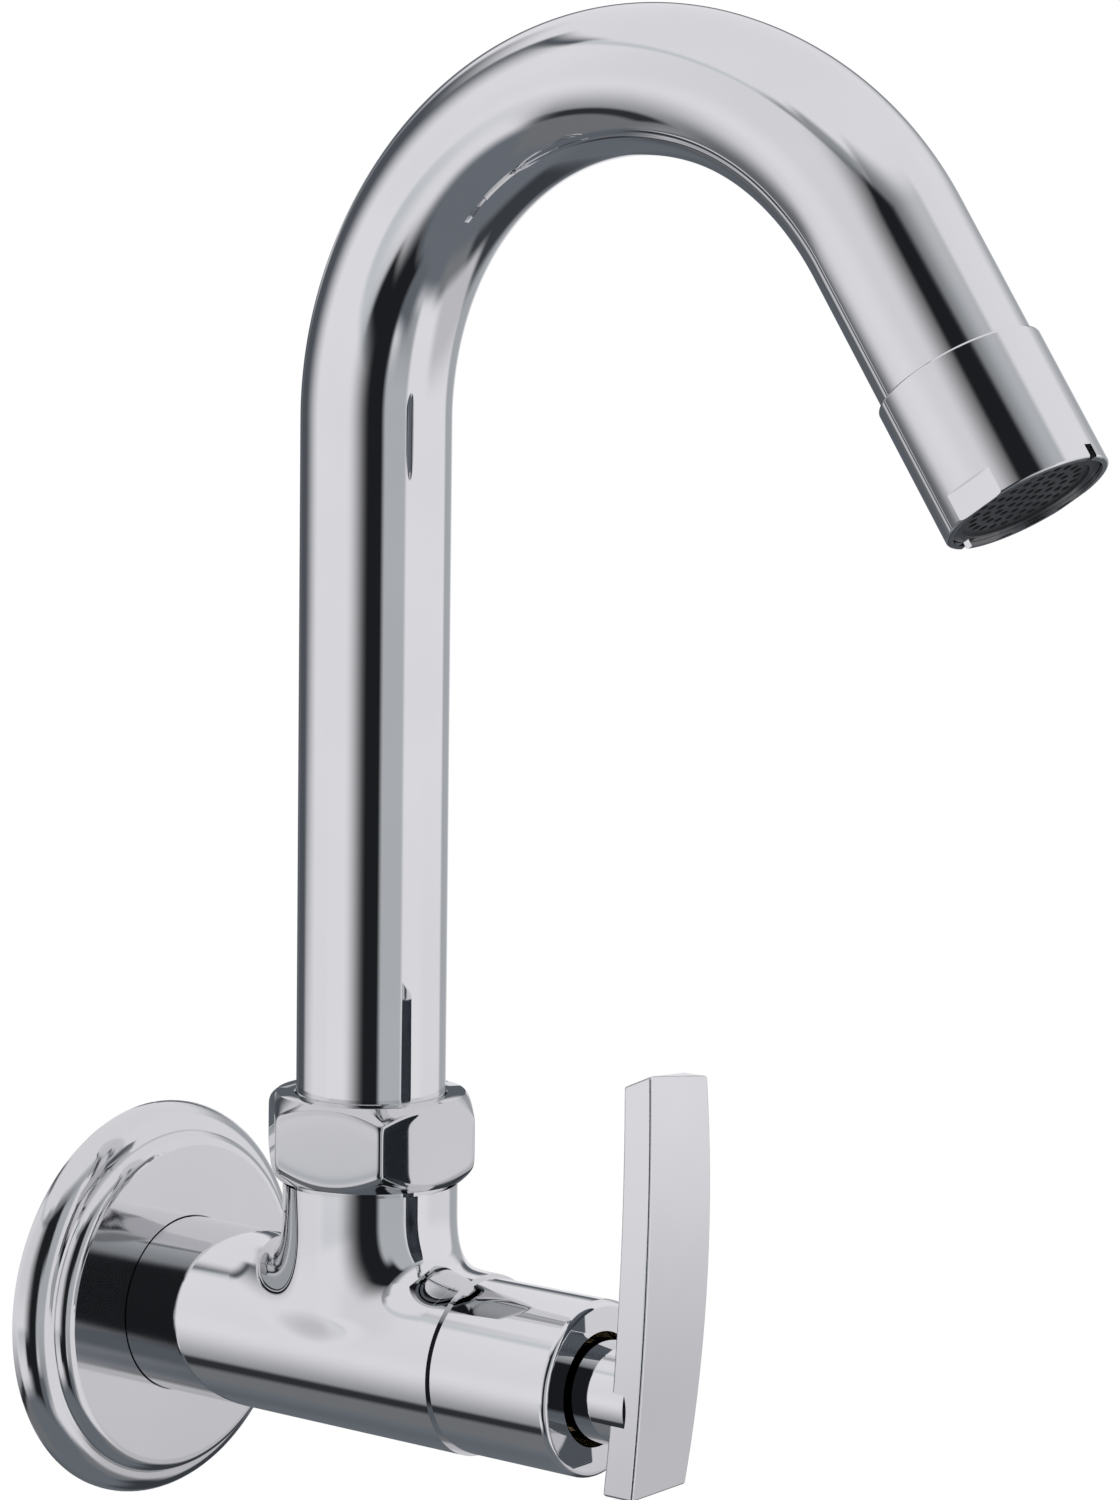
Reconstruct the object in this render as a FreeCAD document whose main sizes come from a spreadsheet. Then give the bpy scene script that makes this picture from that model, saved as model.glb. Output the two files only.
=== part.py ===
import FreeCAD, Part
import math
import os

import Sketcher

# A wall-mounted sink tap with one inlet, a quarter-turn lever and a swivel swan-neck spout.
# Frame: +Z is up and the tap stands out from the wall along -Y. The origin is where the axis
# of the inlet thread meets the wall. All sizes are in millimetres and degrees.
#
# The barrel, the headwork and the lever lie on the Y axis. Their places are given as the
# distance in front of the spout axis, which is vertical and stands spout_offset off the wall.
# Heights on the spout axis are measured from the barrel's axis. Depths in the outlet are
# measured from the outlet rim, upstream along the last straight run of the spout.

SIZES = {
    # Spout tube
    "tube_radius": 11.0,
    "tube_wall": 1.0,
    "bend_start": 136.35,
    "bend_radius": 48.15,
    "bend_turn": 146.2,
    "outlet_reach": 40.8,
    # Brass ferrule in the foot of the tube, and the rings above and below its flange
    "ferrule_rim": 0.75,
    "ferrule_flange": 1.8,
    "ferrule_wall": 1.1,
    "ferrule_braze": 11.0,
    "thrust_ring_thickness": 0.5,
    "slip_ring_thickness": 0.6,
    "ring_groove_depth": 1.1,
    "ring_groove_width": 1.6,
    "ring_start": 4.0,
    "ring_spacing": 6.5,
    # Swivel nut
    "nut_play": 0.25,
    "nut_wall": 2.6,
    "nut_gap": 0.8,
    "nut_lip": 2.0,
    "nut_turn": 45.0,
    "nut_corner_fillet": 2.2,
    "nut_face_inset": 0.3,
    "nut_foot_inset": 0.9,
    "nut_bevel": 35.0,
    "nut_sink": 1.1,
    # Barrel and branch of the brass body
    "spout_offset": 44.0,
    "branch_step": 0.95,
    "branch_shoulder": 24.2,
    "branch_thread_length": 8.5,
    "branch_chamfer": 0.7,
    "tee_fillet": 4.6,
    "socket_wall": 3.35,
    "socket_rise": 1.2,
    "socket_gap": 1.5,
    "port_radius": 4.3,
    "port_margin": 0.3,
    "barrel_margin": 0.4,
    "barrel_front_run": 8.9,
    "barrel_wall": 2.85,
    "thread_radius": 10.48,
    "thread_reach": 13.0,
    "thread_chamfer": 1.2,
    "inlet_radius": 6.5,
    "seat_back": 1.0,
    "seat_wall": 2.5,
    "seat_radius": 5.5,
    "water_gap": 1.2,
    "chamber_margin": 1.0,
    # Wall flange
    "flange_sheet": 0.9,
    "flange_foot_radius": 30.2,
    "rim_bead_depth": 4.65,
    "rim_bead_draw": 3.55,
    "rim_bulge": 1.2,
    "step_rise": 0.15,
    "step_width": 0.35,
    "face_rise": 2.3,
    "face_inset": 2.1,
    "face_bulge": 0.62,
    "collar_depth": 3.4,
    "collar_overrun": 0.7,
    # Headwork: the brass bush that carries the spindle and the discs
    "gasket_thickness": 1.0,
    "bush_collar_step": 1.0,
    "bush_collar_length": 2.2,
    "bush_hex_inset": 0.48,
    "bush_hex_length": 6.0,
    "bush_nose_wall": 1.95,
    "bush_nose_length": 6.0,
    "bush_wall": 0.8,
    "cavity_radius": 7.6,
    "shank_gap": 1.2,
    "window_gap": 0.6,
    "window_width": 8.0,
    # Ceramic discs and the rubber seat seal
    "seal_thickness": 2.0,
    "disc_thickness": 2.6,
    "disc_play": 0.3,
    "disc_rim": 1.3,
    "disc_port_inner": 2.2,
    "disc_port_half_angle": 38.0,
    "lug_width": 3.0,
    "drive_slot_depth": 1.2,
    "drive_slot_width": 3.0,
    # Spindle and what rides on it
    "spindle_radius": 4.6,
    "spindle_flange_length": 1.8,
    "thrust_washer_thickness": 0.8,
    "bar_length": 4.8,
    "bar_width": 5.0,
    "groove_depth": 1.1,
    "groove_width": 1.5,
    "groove_spacing": 4.0,
    "groove_from_nose": 5.5,
    "clip_depth": 0.7,
    "clip_rim": 1.5,
    "clip_thickness": 0.8,
    "clip_opening": 3.2,
    "spline_step": 0.7,
    "spline_depth": 0.45,
    "spline_teeth": 20,
    # Lever: a bowed blade on a round hub, cast in one piece
    "lever_top": 47.8,
    "lever_bottom": 13.2,
    "blade_top_reach": 15.6,
    "blade_bottom_reach": 13.2,
    "blade_top_slant": 2.1,
    "blade_top_lean": 7.7,
    "blade_bow": 300.0,
    "blade_thickness": 4.6,
    "blade_swell": 0.6,
    "blade_top_width": 13.3,
    "blade_bottom_width": 12.8,
    "blade_side_bulge": 0.82,
    "blade_edge": 0.45,
    "hub_radius": 7.4,
    "hub_gap": 2.65,
    "hub_bore_depth": 9.2,
    "hub_bore_gap": 0.6,
    "grub_from_back": 6.3,
    "grub_radius": 2.0,
    "grub_recess": 0.35,
    "grub_key": 2.0,
    # Cover sleeve over the headwork
    "sleeve_wall": 1.2,
    "sleeve_face": 2.2,
    "sleeve_cover": 2.4,
    "sleeve_mouth_gap": 0.95,
    "sleeve_edge": 0.9,
    # Aerator at the outlet
    "housing_wall": 0.73,
    "housing_grip": 7.5,
    "housing_edge": 0.35,
    "mouth_step": 0.2,
    "wrench_cut": 0.58,
    "wrench_height": 3.9,
    "key_width": 1.6,
    "key_depth": 1.9,
    "cartridge_wall": 1.0,
    "cartridge_face": 0.6,
    "cartridge_lip": 0.3,
    "cartridge_seat": 0.5,
    "grid_thickness": 1.4,
    "grid_hole": 0.62,
    "grid_rim": 2.05,
    "screen_thickness": 0.3,
    "screen_hole": 0.55,
    "spacer_length": 3.2,
    "spacer_wall": 1.0,
    "diffuser_thickness": 2.4,
    "diffuser_hole": 0.75,
    "diffuser_skirt": 2.5,
    "aerator_gasket_lap": 1.2,
    "aerator_gasket_thickness": 1.5,
    # Clearances
    "fit_gap": 0.05,
    "slip_gap": 0.1,
    "loose_gap": 0.15,
}

FULL_TURN = 360.0
HALF_TURN = 180.0
HEX_SIDES = 6
CLEAR = 2.0
TOLERANCE = 1e-4
GRID_RINGS = 4
SCREEN_RINGS = 4
DIFFUSER_RINGS = 3


class Size:
    """A number together with the sheet expression that gives it."""

    def __init__(self, number, text):
        self.number = number
        self.text = text

    def __add__(self, other):
        other = as_size(other)
        return Size(self.number + other.number, f"({self.text} + {other.text})")

    def __radd__(self, other):
        return as_size(other) + self

    def __sub__(self, other):
        other = as_size(other)
        return Size(self.number - other.number, f"({self.text} - {other.text})")

    def __rsub__(self, other):
        return as_size(other) - self

    def __mul__(self, other):
        other = as_size(other)
        return Size(self.number * other.number, f"({self.text} * {other.text})")

    def __rmul__(self, other):
        return as_size(other) * self

    def __truediv__(self, other):
        other = as_size(other)
        return Size(self.number / other.number, f"({self.text} / {other.text})")

    def __neg__(self):
        return Size(-self.number, f"(0 - {self.text})")


def as_size(value):
    """Give a plain number the form of a Size."""
    if isinstance(value, Size):
        return value
    return Size(float(value), repr(float(value)))


def sine(angle):
    """Sine of an angle in degrees."""
    angle = as_size(angle)
    return Size(math.sin(math.radians(angle.number)), f"sin({angle.text} * 1 deg)")


def cosine(angle):
    """Cosine of an angle in degrees."""
    angle = as_size(angle)
    return Size(math.cos(math.radians(angle.number)), f"cos({angle.text} * 1 deg)")


def tangent(angle):
    """Tangent of an angle in degrees."""
    return sine(angle) / cosine(angle)


def bulge_radius(along, across, bulge):
    """Radius of the arc over a chord, given by its two legs, that stands proud by the bulge."""
    half_square = (along * along + across * across) / 4.0
    return (half_square + bulge * bulge) / (bulge * 2.0)


class Dimensions:
    """The driving dimensions, one attribute for each alias of the sheet."""

    def __init__(self, sizes):
        for alias, number in sizes.items():
            setattr(self, alias, Size(float(number), f"Sizes.{alias}"))


doc = FreeCAD.newDocument("sink_tap")
sheet = doc.addObject("Spreadsheet::Sheet", "Sizes")
for row, (alias, number) in enumerate(SIZES.items(), start=1):
    sheet.set(f"A{row}", alias)
    sheet.set(f"B{row}", str(number))
    sheet.setAlias(f"B{row}", alias)
doc.recompute()
dim = Dimensions(SIZES)


# Places worked out from the driving dimensions

def out(distance):
    """Y of a point that lies this far in front of the spout axis."""
    return -(dim.spout_offset + distance)


# Spout tube and ferrule, nut, branch and barrel, each round the one before
tube_bore = dim.tube_radius - dim.tube_wall
ferrule_flange_radius = dim.tube_radius + dim.ferrule_rim
nut_thread = ferrule_flange_radius + dim.nut_play
nut_lip_radius = dim.tube_radius + dim.slip_gap
nut_flats = (nut_thread + dim.nut_wall) * 2.0
branch_thread = nut_thread - dim.fit_gap
branch_radius = branch_thread + dim.branch_step
barrel_radius = branch_radius + dim.barrel_margin
socket_radius = branch_thread - dim.socket_wall
plug_radius = socket_radius - dim.slip_gap
ring_groove_floor = plug_radius - dim.ring_groove_depth
ferrule_bore = ring_groove_floor - dim.ferrule_wall

# Heights up the spout axis
socket_floor = barrel_radius + dim.socket_rise
ferrule_foot = socket_floor + dim.socket_gap
lower_ring = ferrule_foot + dim.ring_start
upper_ring = lower_ring + dim.ring_spacing
branch_top = dim.branch_shoulder + dim.branch_thread_length
flange_base = branch_top + dim.thrust_ring_thickness
tube_foot = flange_base + dim.ferrule_flange
ferrule_top = tube_foot + dim.ferrule_braze
nut_bottom = dim.branch_shoulder + dim.nut_gap
nut_lip_base = tube_foot + dim.slip_ring_thickness
nut_top = nut_lip_base + dim.nut_lip

# Wall flange, and where the barrel ends inside it
step_depth = dim.rim_bead_depth + dim.step_rise
flange_depth = step_depth + dim.face_rise
rim_bead_radius = dim.flange_foot_radius - dim.rim_bead_draw
step_radius = rim_bead_radius - dim.step_width
face_radius = step_radius - dim.face_inset
flange_hole = barrel_radius + dim.loose_gap
collar_end = flange_depth - dim.collar_depth
barrel_back = collar_end - dim.collar_overrun

# Headwork radii
headwork_thread = barrel_radius - dim.barrel_wall
bush_collar_radius = headwork_thread + dim.bush_collar_step
bush_hex_flats = (bush_collar_radius - dim.bush_hex_inset) * math.sqrt(3.0)
bush_nose_radius = dim.spindle_radius + dim.fit_gap + dim.bush_nose_wall
gasket_outer = bush_collar_radius - dim.slip_gap
shank_radius = dim.cavity_radius + dim.bush_wall
chamber_radius = shank_radius + dim.water_gap
lug_reach = shank_radius - dim.slip_gap * 2.0
spindle_flange_radius = dim.cavity_radius - dim.disc_play
disc_port_outer = spindle_flange_radius - dim.disc_rim
groove_floor = dim.spindle_radius - dim.groove_depth
clip_floor = dim.spindle_radius - dim.clip_depth
clip_outer = dim.spindle_radius + dim.clip_rim
spline_radius = dim.spindle_radius - dim.spline_step
spline_bore = spline_radius + dim.loose_gap
port_floor = chamber_radius - dim.port_radius
port_forward = socket_radius - dim.port_radius - dim.port_margin
sleeve_bore = bush_collar_radius + dim.loose_gap
sleeve_radius = sleeve_bore + dim.sleeve_wall
sleeve_mouth = dim.hub_radius + dim.sleeve_mouth_gap

# Places along the barrel's axis, in front of the spout axis
body_front = branch_radius + dim.barrel_front_run
shank_end = dim.shank_gap - dim.seat_back
disc_back = dim.seal_thickness - dim.seat_back
moving_disc_back = disc_back + dim.disc_thickness
moving_disc_front = moving_disc_back + dim.disc_thickness
tang_back = moving_disc_front - dim.drive_slot_depth
window_back = moving_disc_front + dim.window_gap
spindle_flange_back = moving_disc_front + dim.bar_length
washer_back = spindle_flange_back + dim.spindle_flange_length
cavity_front = washer_back + dim.thrust_washer_thickness
chamber_front = spindle_flange_back + dim.chamber_margin
bush_collar_back = body_front + dim.gasket_thickness
bush_hex_back = bush_collar_back + dim.bush_collar_length
bush_hex_front = bush_hex_back + dim.bush_hex_length
bush_nose_end = bush_hex_front + dim.bush_nose_length
second_groove = bush_nose_end - dim.groove_from_nose
first_groove = second_groove - dim.groove_spacing
clip_back = bush_nose_end + dim.loose_gap
clip_front = clip_back + dim.clip_thickness
hub_back = clip_front + dim.hub_gap
sleeve_front = hub_back + dim.sleeve_cover
spindle_end = hub_back + dim.hub_bore_depth - dim.hub_bore_gap
grub_place = hub_back + dim.grub_from_back
grub_length = dim.hub_radius - spline_bore - dim.grub_recess
blade_front_top = hub_back + dim.blade_top_reach
blade_front_bottom = hub_back + dim.blade_bottom_reach
hub_root = (blade_front_top + blade_front_bottom - dim.blade_thickness) / 2.0

# Aerator radii, and depths upstream from the outlet rim
tube_thread = dim.tube_radius + dim.fit_gap
housing_radius = tube_thread + dim.housing_wall
wrench_flats = (housing_radius - dim.wrench_cut) * 2.0
mouth_radius = dim.tube_radius - dim.mouth_step
cartridge_radius = mouth_radius - dim.slip_gap
cartridge_bore = cartridge_radius - dim.cartridge_wall
lip_radius = cartridge_bore - dim.cartridge_seat
insert_radius = cartridge_bore - dim.fit_gap
grid_pitch = (insert_radius - dim.grid_rim) / GRID_RINGS
grid_base = dim.cartridge_face + dim.cartridge_lip
lower_screen_base = grid_base + dim.grid_thickness
spacer_base = lower_screen_base + dim.screen_thickness
upper_screen_base = spacer_base + dim.spacer_length
diffuser_base = upper_screen_base + dim.screen_thickness
diffuser_top = diffuser_base + dim.diffuser_thickness
cartridge_top = diffuser_top + dim.diffuser_skirt
tube_end_depth = cartridge_top + dim.aerator_gasket_thickness
housing_length = tube_end_depth + dim.housing_grip
last_run = dim.outlet_reach - tube_end_depth
bend_end_y = -(dim.bend_radius * (1.0 - cosine(dim.bend_turn)))
bend_end_z = dim.bend_start + dim.bend_radius * sine(dim.bend_turn)
outlet_y = bend_end_y - dim.outlet_reach * sine(dim.bend_turn)
outlet_z = bend_end_z + dim.outlet_reach * cosine(dim.bend_turn)


# Modelling helpers

def bind(target, path, value):
    """Set a property to a size and keep it tied to the sheet."""
    value = as_size(value)
    target.setExpression(path, value.text)


def new_body(label, base=None, tilt=None):
    """Make an empty body, placed by sheet values when base (y, z) or a tilt about X is given."""
    body = doc.addObject("PartDesign::Body", label)
    body.Label = label
    if base is not None:
        y, z = (as_size(value) for value in base)
        angle = as_size(tilt if tilt is not None else 0.0)
        body.Placement = FreeCAD.Placement(
            FreeCAD.Vector(0, y.number, z.number),
            FreeCAD.Rotation(FreeCAD.Vector(-1, 0, 0), angle.number),
        )
        bind(body, "Placement.Base.y", y)
        bind(body, "Placement.Base.z", z)
        if tilt is not None:
            bind(body, "Placement.Rotation.Angle", angle)
    return body


def new_sketch(body, role, name, offset=None):
    """Attach a sketch to one of its body's own origin planes, moved along the plane's normal."""
    plane = next(item for item in body.Origin.OriginFeatures if item.Role == role)
    sketch = body.newObject("Sketcher::SketchObject", name)
    sketch.AttachmentSupport = (plane, "")
    sketch.MapMode = "FlatFace"
    if offset is not None:
        offset = as_size(offset)
        sketch.AttachmentOffset = FreeCAD.Placement(
            FreeCAD.Vector(0, 0, offset.number), FreeCAD.Rotation()
        )
        bind(sketch, "AttachmentOffset.Base.z", offset)
    return sketch


def constrain(sketch, *terms, value=None):
    """Add one constraint, driven by a size when a value is given."""
    if value is None:
        sketch.addConstraint(Sketcher.Constraint(*terms))
        return
    value = as_size(value)
    index = sketch.addConstraint(Sketcher.Constraint(*terms, value.number))
    bind(sketch, f"Constraints[{index}]", value)


def pin_point(sketch, curve, point, x, y):
    """Hold one end of a curve at a place measured from the sketch's origin."""
    constrain(sketch, "DistanceX", -1, 1, curve, point, value=x)
    constrain(sketch, "DistanceY", -1, 1, curve, point, value=y)


def arc_between(start, end, radius):
    """Arc from start to end: a positive radius turns left, a negative one turns right."""
    chord = end - start
    half = chord.Length / 2.0
    to_left = FreeCAD.Vector(-chord.y, chord.x, 0).normalize()
    rise = math.sqrt(radius * radius - half * half)
    centre = (start + end) * 0.5 + to_left * math.copysign(rise, radius)
    first, last = (start, end) if radius > 0 else (end, start)
    angles = [math.atan2(point.y - centre.y, point.x - centre.x) for point in (first, last)]
    if angles[1] < angles[0]:
        angles[1] += 2.0 * math.pi
    circle = Part.Circle(centre, FreeCAD.Vector(0, 0, 1), abs(radius))
    return Part.ArcOfCircle(circle, angles[0], angles[1])


def outline(sketch, points):
    """Draw a closed outline. A third value in a point is the radius of the arc that ends there."""
    corners = [tuple(as_size(value) for value in point) for point in points]
    count = len(corners)
    ends = []
    for index in range(count):
        start = corners[index - 1]
        end = corners[index]
        start_point = FreeCAD.Vector(start[0].number, start[1].number, 0)
        end_point = FreeCAD.Vector(end[0].number, end[1].number, 0)
        if len(end) == 2:
            curve = sketch.addGeometry(Part.LineSegment(start_point, end_point))
            ends.append((curve, 1, 2))
            continue
        radius = end[2].number
        curve = sketch.addGeometry(arc_between(start_point, end_point, radius))
        ends.append((curve, 1, 2) if radius > 0 else (curve, 2, 1))
    for index in range(count):
        curve, _, last = ends[index]
        following, first, _ = ends[(index + 1) % count]
        constrain(sketch, "Coincident", curve, last, following, first)
        pin_point(sketch, curve, last, corners[index][0], corners[index][1])
        if len(corners[index]) == 3:
            radius = corners[index][2]
            constrain(sketch, "Radius", curve, value=radius if radius.number > 0 else -radius)


def circle(sketch, radius, x=0.0, y=0.0):
    """Draw a circle, its centre measured from the sketch's origin."""
    x, y, radius = (as_size(value) for value in (x, y, radius))
    centre = FreeCAD.Vector(x.number, y.number, 0)
    curve = sketch.addGeometry(Part.Circle(centre, FreeCAD.Vector(0, 0, 1), radius.number))
    constrain(sketch, "Radius", curve, value=radius)
    if x.number == 0.0 and y.number == 0.0:
        constrain(sketch, "Coincident", curve, 3, -1, 1)
    else:
        pin_point(sketch, curve, 3, x, y)


def hexagon(sketch, flats, turn=0.0):
    """Draw a hexagon by its size across flats, one corner at the turn angle."""
    corner = flats / math.sqrt(3.0)
    angles = [as_size(turn) + step * FULL_TURN / HEX_SIDES for step in range(HEX_SIDES)]
    outline(sketch, [(corner * cosine(angle), corner * sine(angle)) for angle in angles])


def rectangle(sketch, left, right, low, high):
    """Draw a rectangle by its four sides."""
    outline(sketch, [(left, low), (right, low), (right, high), (left, high)])


ADDING = ("Pad", "Revolution", "AdditivePipe")
CUTTING = ("Pocket", "Groove")


def feature(body, kind, name, **settings):
    """Add one feature to a body and make sure that it adds or removes material."""
    before = body.Shape.Volume if body.Tip is not None else 0.0
    item = body.newObject(f"PartDesign::{kind}", name)
    for key, value in settings.items():
        if isinstance(value, Size):
            setattr(item, key, value.number)
            bind(item, key, value)
        else:
            setattr(item, key, value)
    doc.recompute()
    change = body.Shape.Volume - before
    if kind in ADDING and change <= 0.0 or kind in CUTTING and change >= 0.0:
        raise RuntimeError(f"{body.Label}.{name} changed nothing")
    return item


def turn_up(body, name, points, axis="H_Axis", plane="YZ_Plane"):
    """Revolve a closed outline about an axis of its sketch plane."""
    sketch = new_sketch(body, plane, f"{name}Outline")
    outline(sketch, points)
    return feature(body, "Revolution", name, Profile=sketch, ReferenceAxis=(sketch, [axis]),
                   Angle=FULL_TURN)


def turn_out(body, name, points, axis="H_Axis", plane="YZ_Plane"):
    """Cut a revolved outline out of a body."""
    sketch = new_sketch(body, plane, f"{name}Outline")
    outline(sketch, points)
    return feature(body, "Groove", name, Profile=sketch, ReferenceAxis=(sketch, [axis]),
                   Angle=FULL_TURN)


def pad(body, name, sketch, length, **settings):
    """Raise a sketch along its normal."""
    return feature(body, "Pad", name, Profile=sketch, Length=as_size(length), **settings)


def pocket(body, name, sketch, length, **settings):
    """Sink a sketch against its normal, or along it when reversed."""
    return feature(body, "Pocket", name, Profile=sketch, Length=as_size(length), **settings)


def upright(body, name, points):
    """Revolve an outline of (radius, height) points about the body's own Z axis."""
    return turn_up(body, name, points, axis="V_Axis", plane="XZ_Plane")


def upright_cut(body, name, points):
    """Cut an outline of (radius, height) points, revolved about the body's own Z axis."""
    return turn_out(body, name, points, axis="V_Axis", plane="XZ_Plane")


def tube_outline(inner, outer, low, high):
    """Outline of a plain ring for one of the upright turnings."""
    return [(inner, low), (outer, low), (outer, high), (inner, high)]


def edge_names(body, wanted):
    """Names of the edges of a body's tip that pass a test."""
    return [f"Edge{index}" for index, edge in enumerate(body.Tip.Shape.Edges, start=1)
            if wanted(edge)]


def dress(body, kind, name, names, size, **settings):
    """Fillet or chamfer named edges of a body's tip."""
    if not names:
        raise RuntimeError(f"{body.Label}.{name} found no edge")
    key = "Radius" if kind == "Fillet" else "Size"
    settings[key] = as_size(size)
    return feature(body, kind, name, Base=(body.Tip, names), **settings)


def is_ring(edge, radius, place, along):
    """Tell whether an edge is a full circle of a radius at a place on the Y or Z axis."""
    curve = edge.Curve
    if curve.TypeId != "Part::GeomCircle" or not edge.isClosed():
        return False
    centre = getattr(curve.Center, along)
    return abs(curve.Radius - radius.number) < TOLERANCE and abs(centre - place.number) < TOLERANCE


def ring_of(body, name, source, sketch, count):
    """Repeat a feature round the normal of its sketch."""
    item = feature(body, "PolarPattern", name, Originals=[source],
                   Axis=(sketch, ["N_Axis"]), Angle=FULL_TURN, Occurrences=count)
    body.Tip = item
    doc.recompute()
    return item


def perforate(body, name, top, depth, hole, pitch, rings):
    """Drill a centre hole and rings of six, twelve, eighteen and so on through a disc."""
    sketch = new_sketch(body, "XY_Plane", f"{name}Centre", offset=top)
    circle(sketch, hole)
    pocket(body, f"{name}Middle", sketch, depth)
    for number in range(1, rings + 1):
        sketch = new_sketch(body, "XY_Plane", f"{name}Seed{number}", offset=top)
        circle(sketch, hole, x=pitch * number)
        seed = pocket(body, f"{name}Hole{number}", sketch, depth)
        ring_of(body, f"{name}Ring{number}", seed, sketch, HEX_SIDES * number)


def rubber_rings(label, centre_radius, section_radius, places, spin):
    """A pair of O-rings, placed by sheet values on the Y axis or on the spout axis."""
    rings = []
    for number, (y, z) in enumerate(places, start=1):
        torus = doc.addObject("Part::Torus", f"{label}_{number}")
        bind(torus, "Radius1", centre_radius)
        bind(torus, "Radius2", section_radius)
        torus.Placement = FreeCAD.Placement(FreeCAD.Vector(0, 0, 0), spin)
        bind(torus, "Placement.Base.y", y)
        bind(torus, "Placement.Base.z", z)
        rings.append(torus)
    group = doc.addObject("Part::Compound", label)
    group.Label = label
    group.Links = rings
    return group


def on_spout(label):
    """Make a body whose own Z axis is the spout axis."""
    return new_body(label, base=(-dim.spout_offset, 0.0))


def on_outlet(label):
    """Make a body whose own Z axis runs upstream from the centre of the outlet rim."""
    return new_body(label, base=(outlet_y - dim.spout_offset, outlet_z),
                    tilt=HALF_TURN - dim.bend_turn)


# Fixed pieces: body, flange, headwork, cover and nut

def make_valve_body():
    """Cast brass tee with the inlet thread, the valve seat and the socket for the spout."""
    body = new_body("valve_body")
    front = out(body_front)
    back = -barrel_back
    seat = out(-dim.seat_back)
    seat_rear = out(-(dim.seat_back + dim.seat_wall))
    turn_up(body, "Barrel", [
        (front, 0.0),
        (front, barrel_radius),
        (back, barrel_radius),
        (back, dim.thread_radius),
        (dim.thread_reach - dim.thread_chamfer, dim.thread_radius),
        (dim.thread_reach, dim.thread_radius - dim.thread_chamfer),
        (dim.thread_reach, 0.0),
    ])
    sketch = new_sketch(body, "XY_Plane", "BranchRound")
    circle(sketch, branch_radius, y=-dim.spout_offset)
    pad(body, "Branch", sketch, dim.branch_shoulder)
    tee = edge_names(body, lambda edge: not edge.isClosed()
                     and edge.Curve.TypeId not in ("Part::GeomLine", "Part::GeomCircle"))
    if not tee:
        tee = edge_names(body, lambda edge: edge.Curve.TypeId
                         not in ("Part::GeomLine", "Part::GeomCircle"))
    dress(body, "Fillet", "TeeBlend", tee, dim.tee_fillet)
    sketch = new_sketch(body, "XY_Plane", "BranchThreadRound", offset=dim.branch_shoulder)
    circle(sketch, branch_thread, y=-dim.spout_offset)
    pad(body, "BranchThread", sketch, branch_top - dim.branch_shoulder)
    mouth = edge_names(body, lambda edge: is_ring(edge, branch_thread, branch_top, "z"))
    dress(body, "Chamfer", "BranchLeadIn", mouth, dim.branch_chamfer)
    turn_out(body, "Waterway", [
        (front, 0.0),
        (front, headwork_thread + dim.fit_gap),
        (out(chamber_front), headwork_thread + dim.fit_gap),
        (out(chamber_front), chamber_radius),
        (seat, chamber_radius),
        (seat, dim.seat_radius),
        (seat_rear, dim.seat_radius),
        (seat_rear, dim.inlet_radius),
        (dim.thread_reach, dim.inlet_radius),
        (dim.thread_reach, 0.0),
    ])
    sketch = new_sketch(body, "XY_Plane", "SocketRound", offset=branch_top)
    circle(sketch, socket_radius, y=-dim.spout_offset)
    pocket(body, "Socket", sketch, branch_top - socket_floor)
    sketch = new_sketch(body, "XY_Plane", "PortRound", offset=socket_floor)
    circle(sketch, dim.port_radius, y=out(port_forward))
    pocket(body, "Port", sketch, socket_floor - port_floor)
    return body


def make_wall_flange():
    """Pressed cover plate with a beaded rim, a second bead and a flat face."""
    body = new_body("wall_flange")
    sheet_wall = dim.flange_sheet
    rim_bead = bulge_radius(dim.rim_bead_depth, dim.rim_bead_draw, dim.rim_bulge)
    rim_hollow = bulge_radius(step_depth - sheet_wall, dim.flange_foot_radius - step_radius,
                              dim.rim_bulge - sheet_wall / 3.0)
    face_bead = bulge_radius(dim.face_rise, dim.face_inset, dim.face_bulge)
    face_hollow = bulge_radius(dim.face_rise, dim.face_inset - sheet_wall,
                               dim.face_bulge - sheet_wall / 3.0)
    turn_up(body, "Shell", [
        (0.0, dim.flange_foot_radius - sheet_wall, -rim_hollow),
        (0.0, dim.flange_foot_radius),
        (-dim.rim_bead_depth, rim_bead_radius, rim_bead),
        (-step_depth, step_radius),
        (-flange_depth, face_radius, face_bead),
        (-flange_depth, flange_hole),
        (-collar_end, flange_hole),
        (-collar_end, flange_hole + sheet_wall),
        (-(flange_depth - sheet_wall), flange_hole + sheet_wall),
        (-(flange_depth - sheet_wall), face_radius),
        (-(step_depth - sheet_wall), step_radius - sheet_wall, -face_hollow),
    ])
    return body


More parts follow.
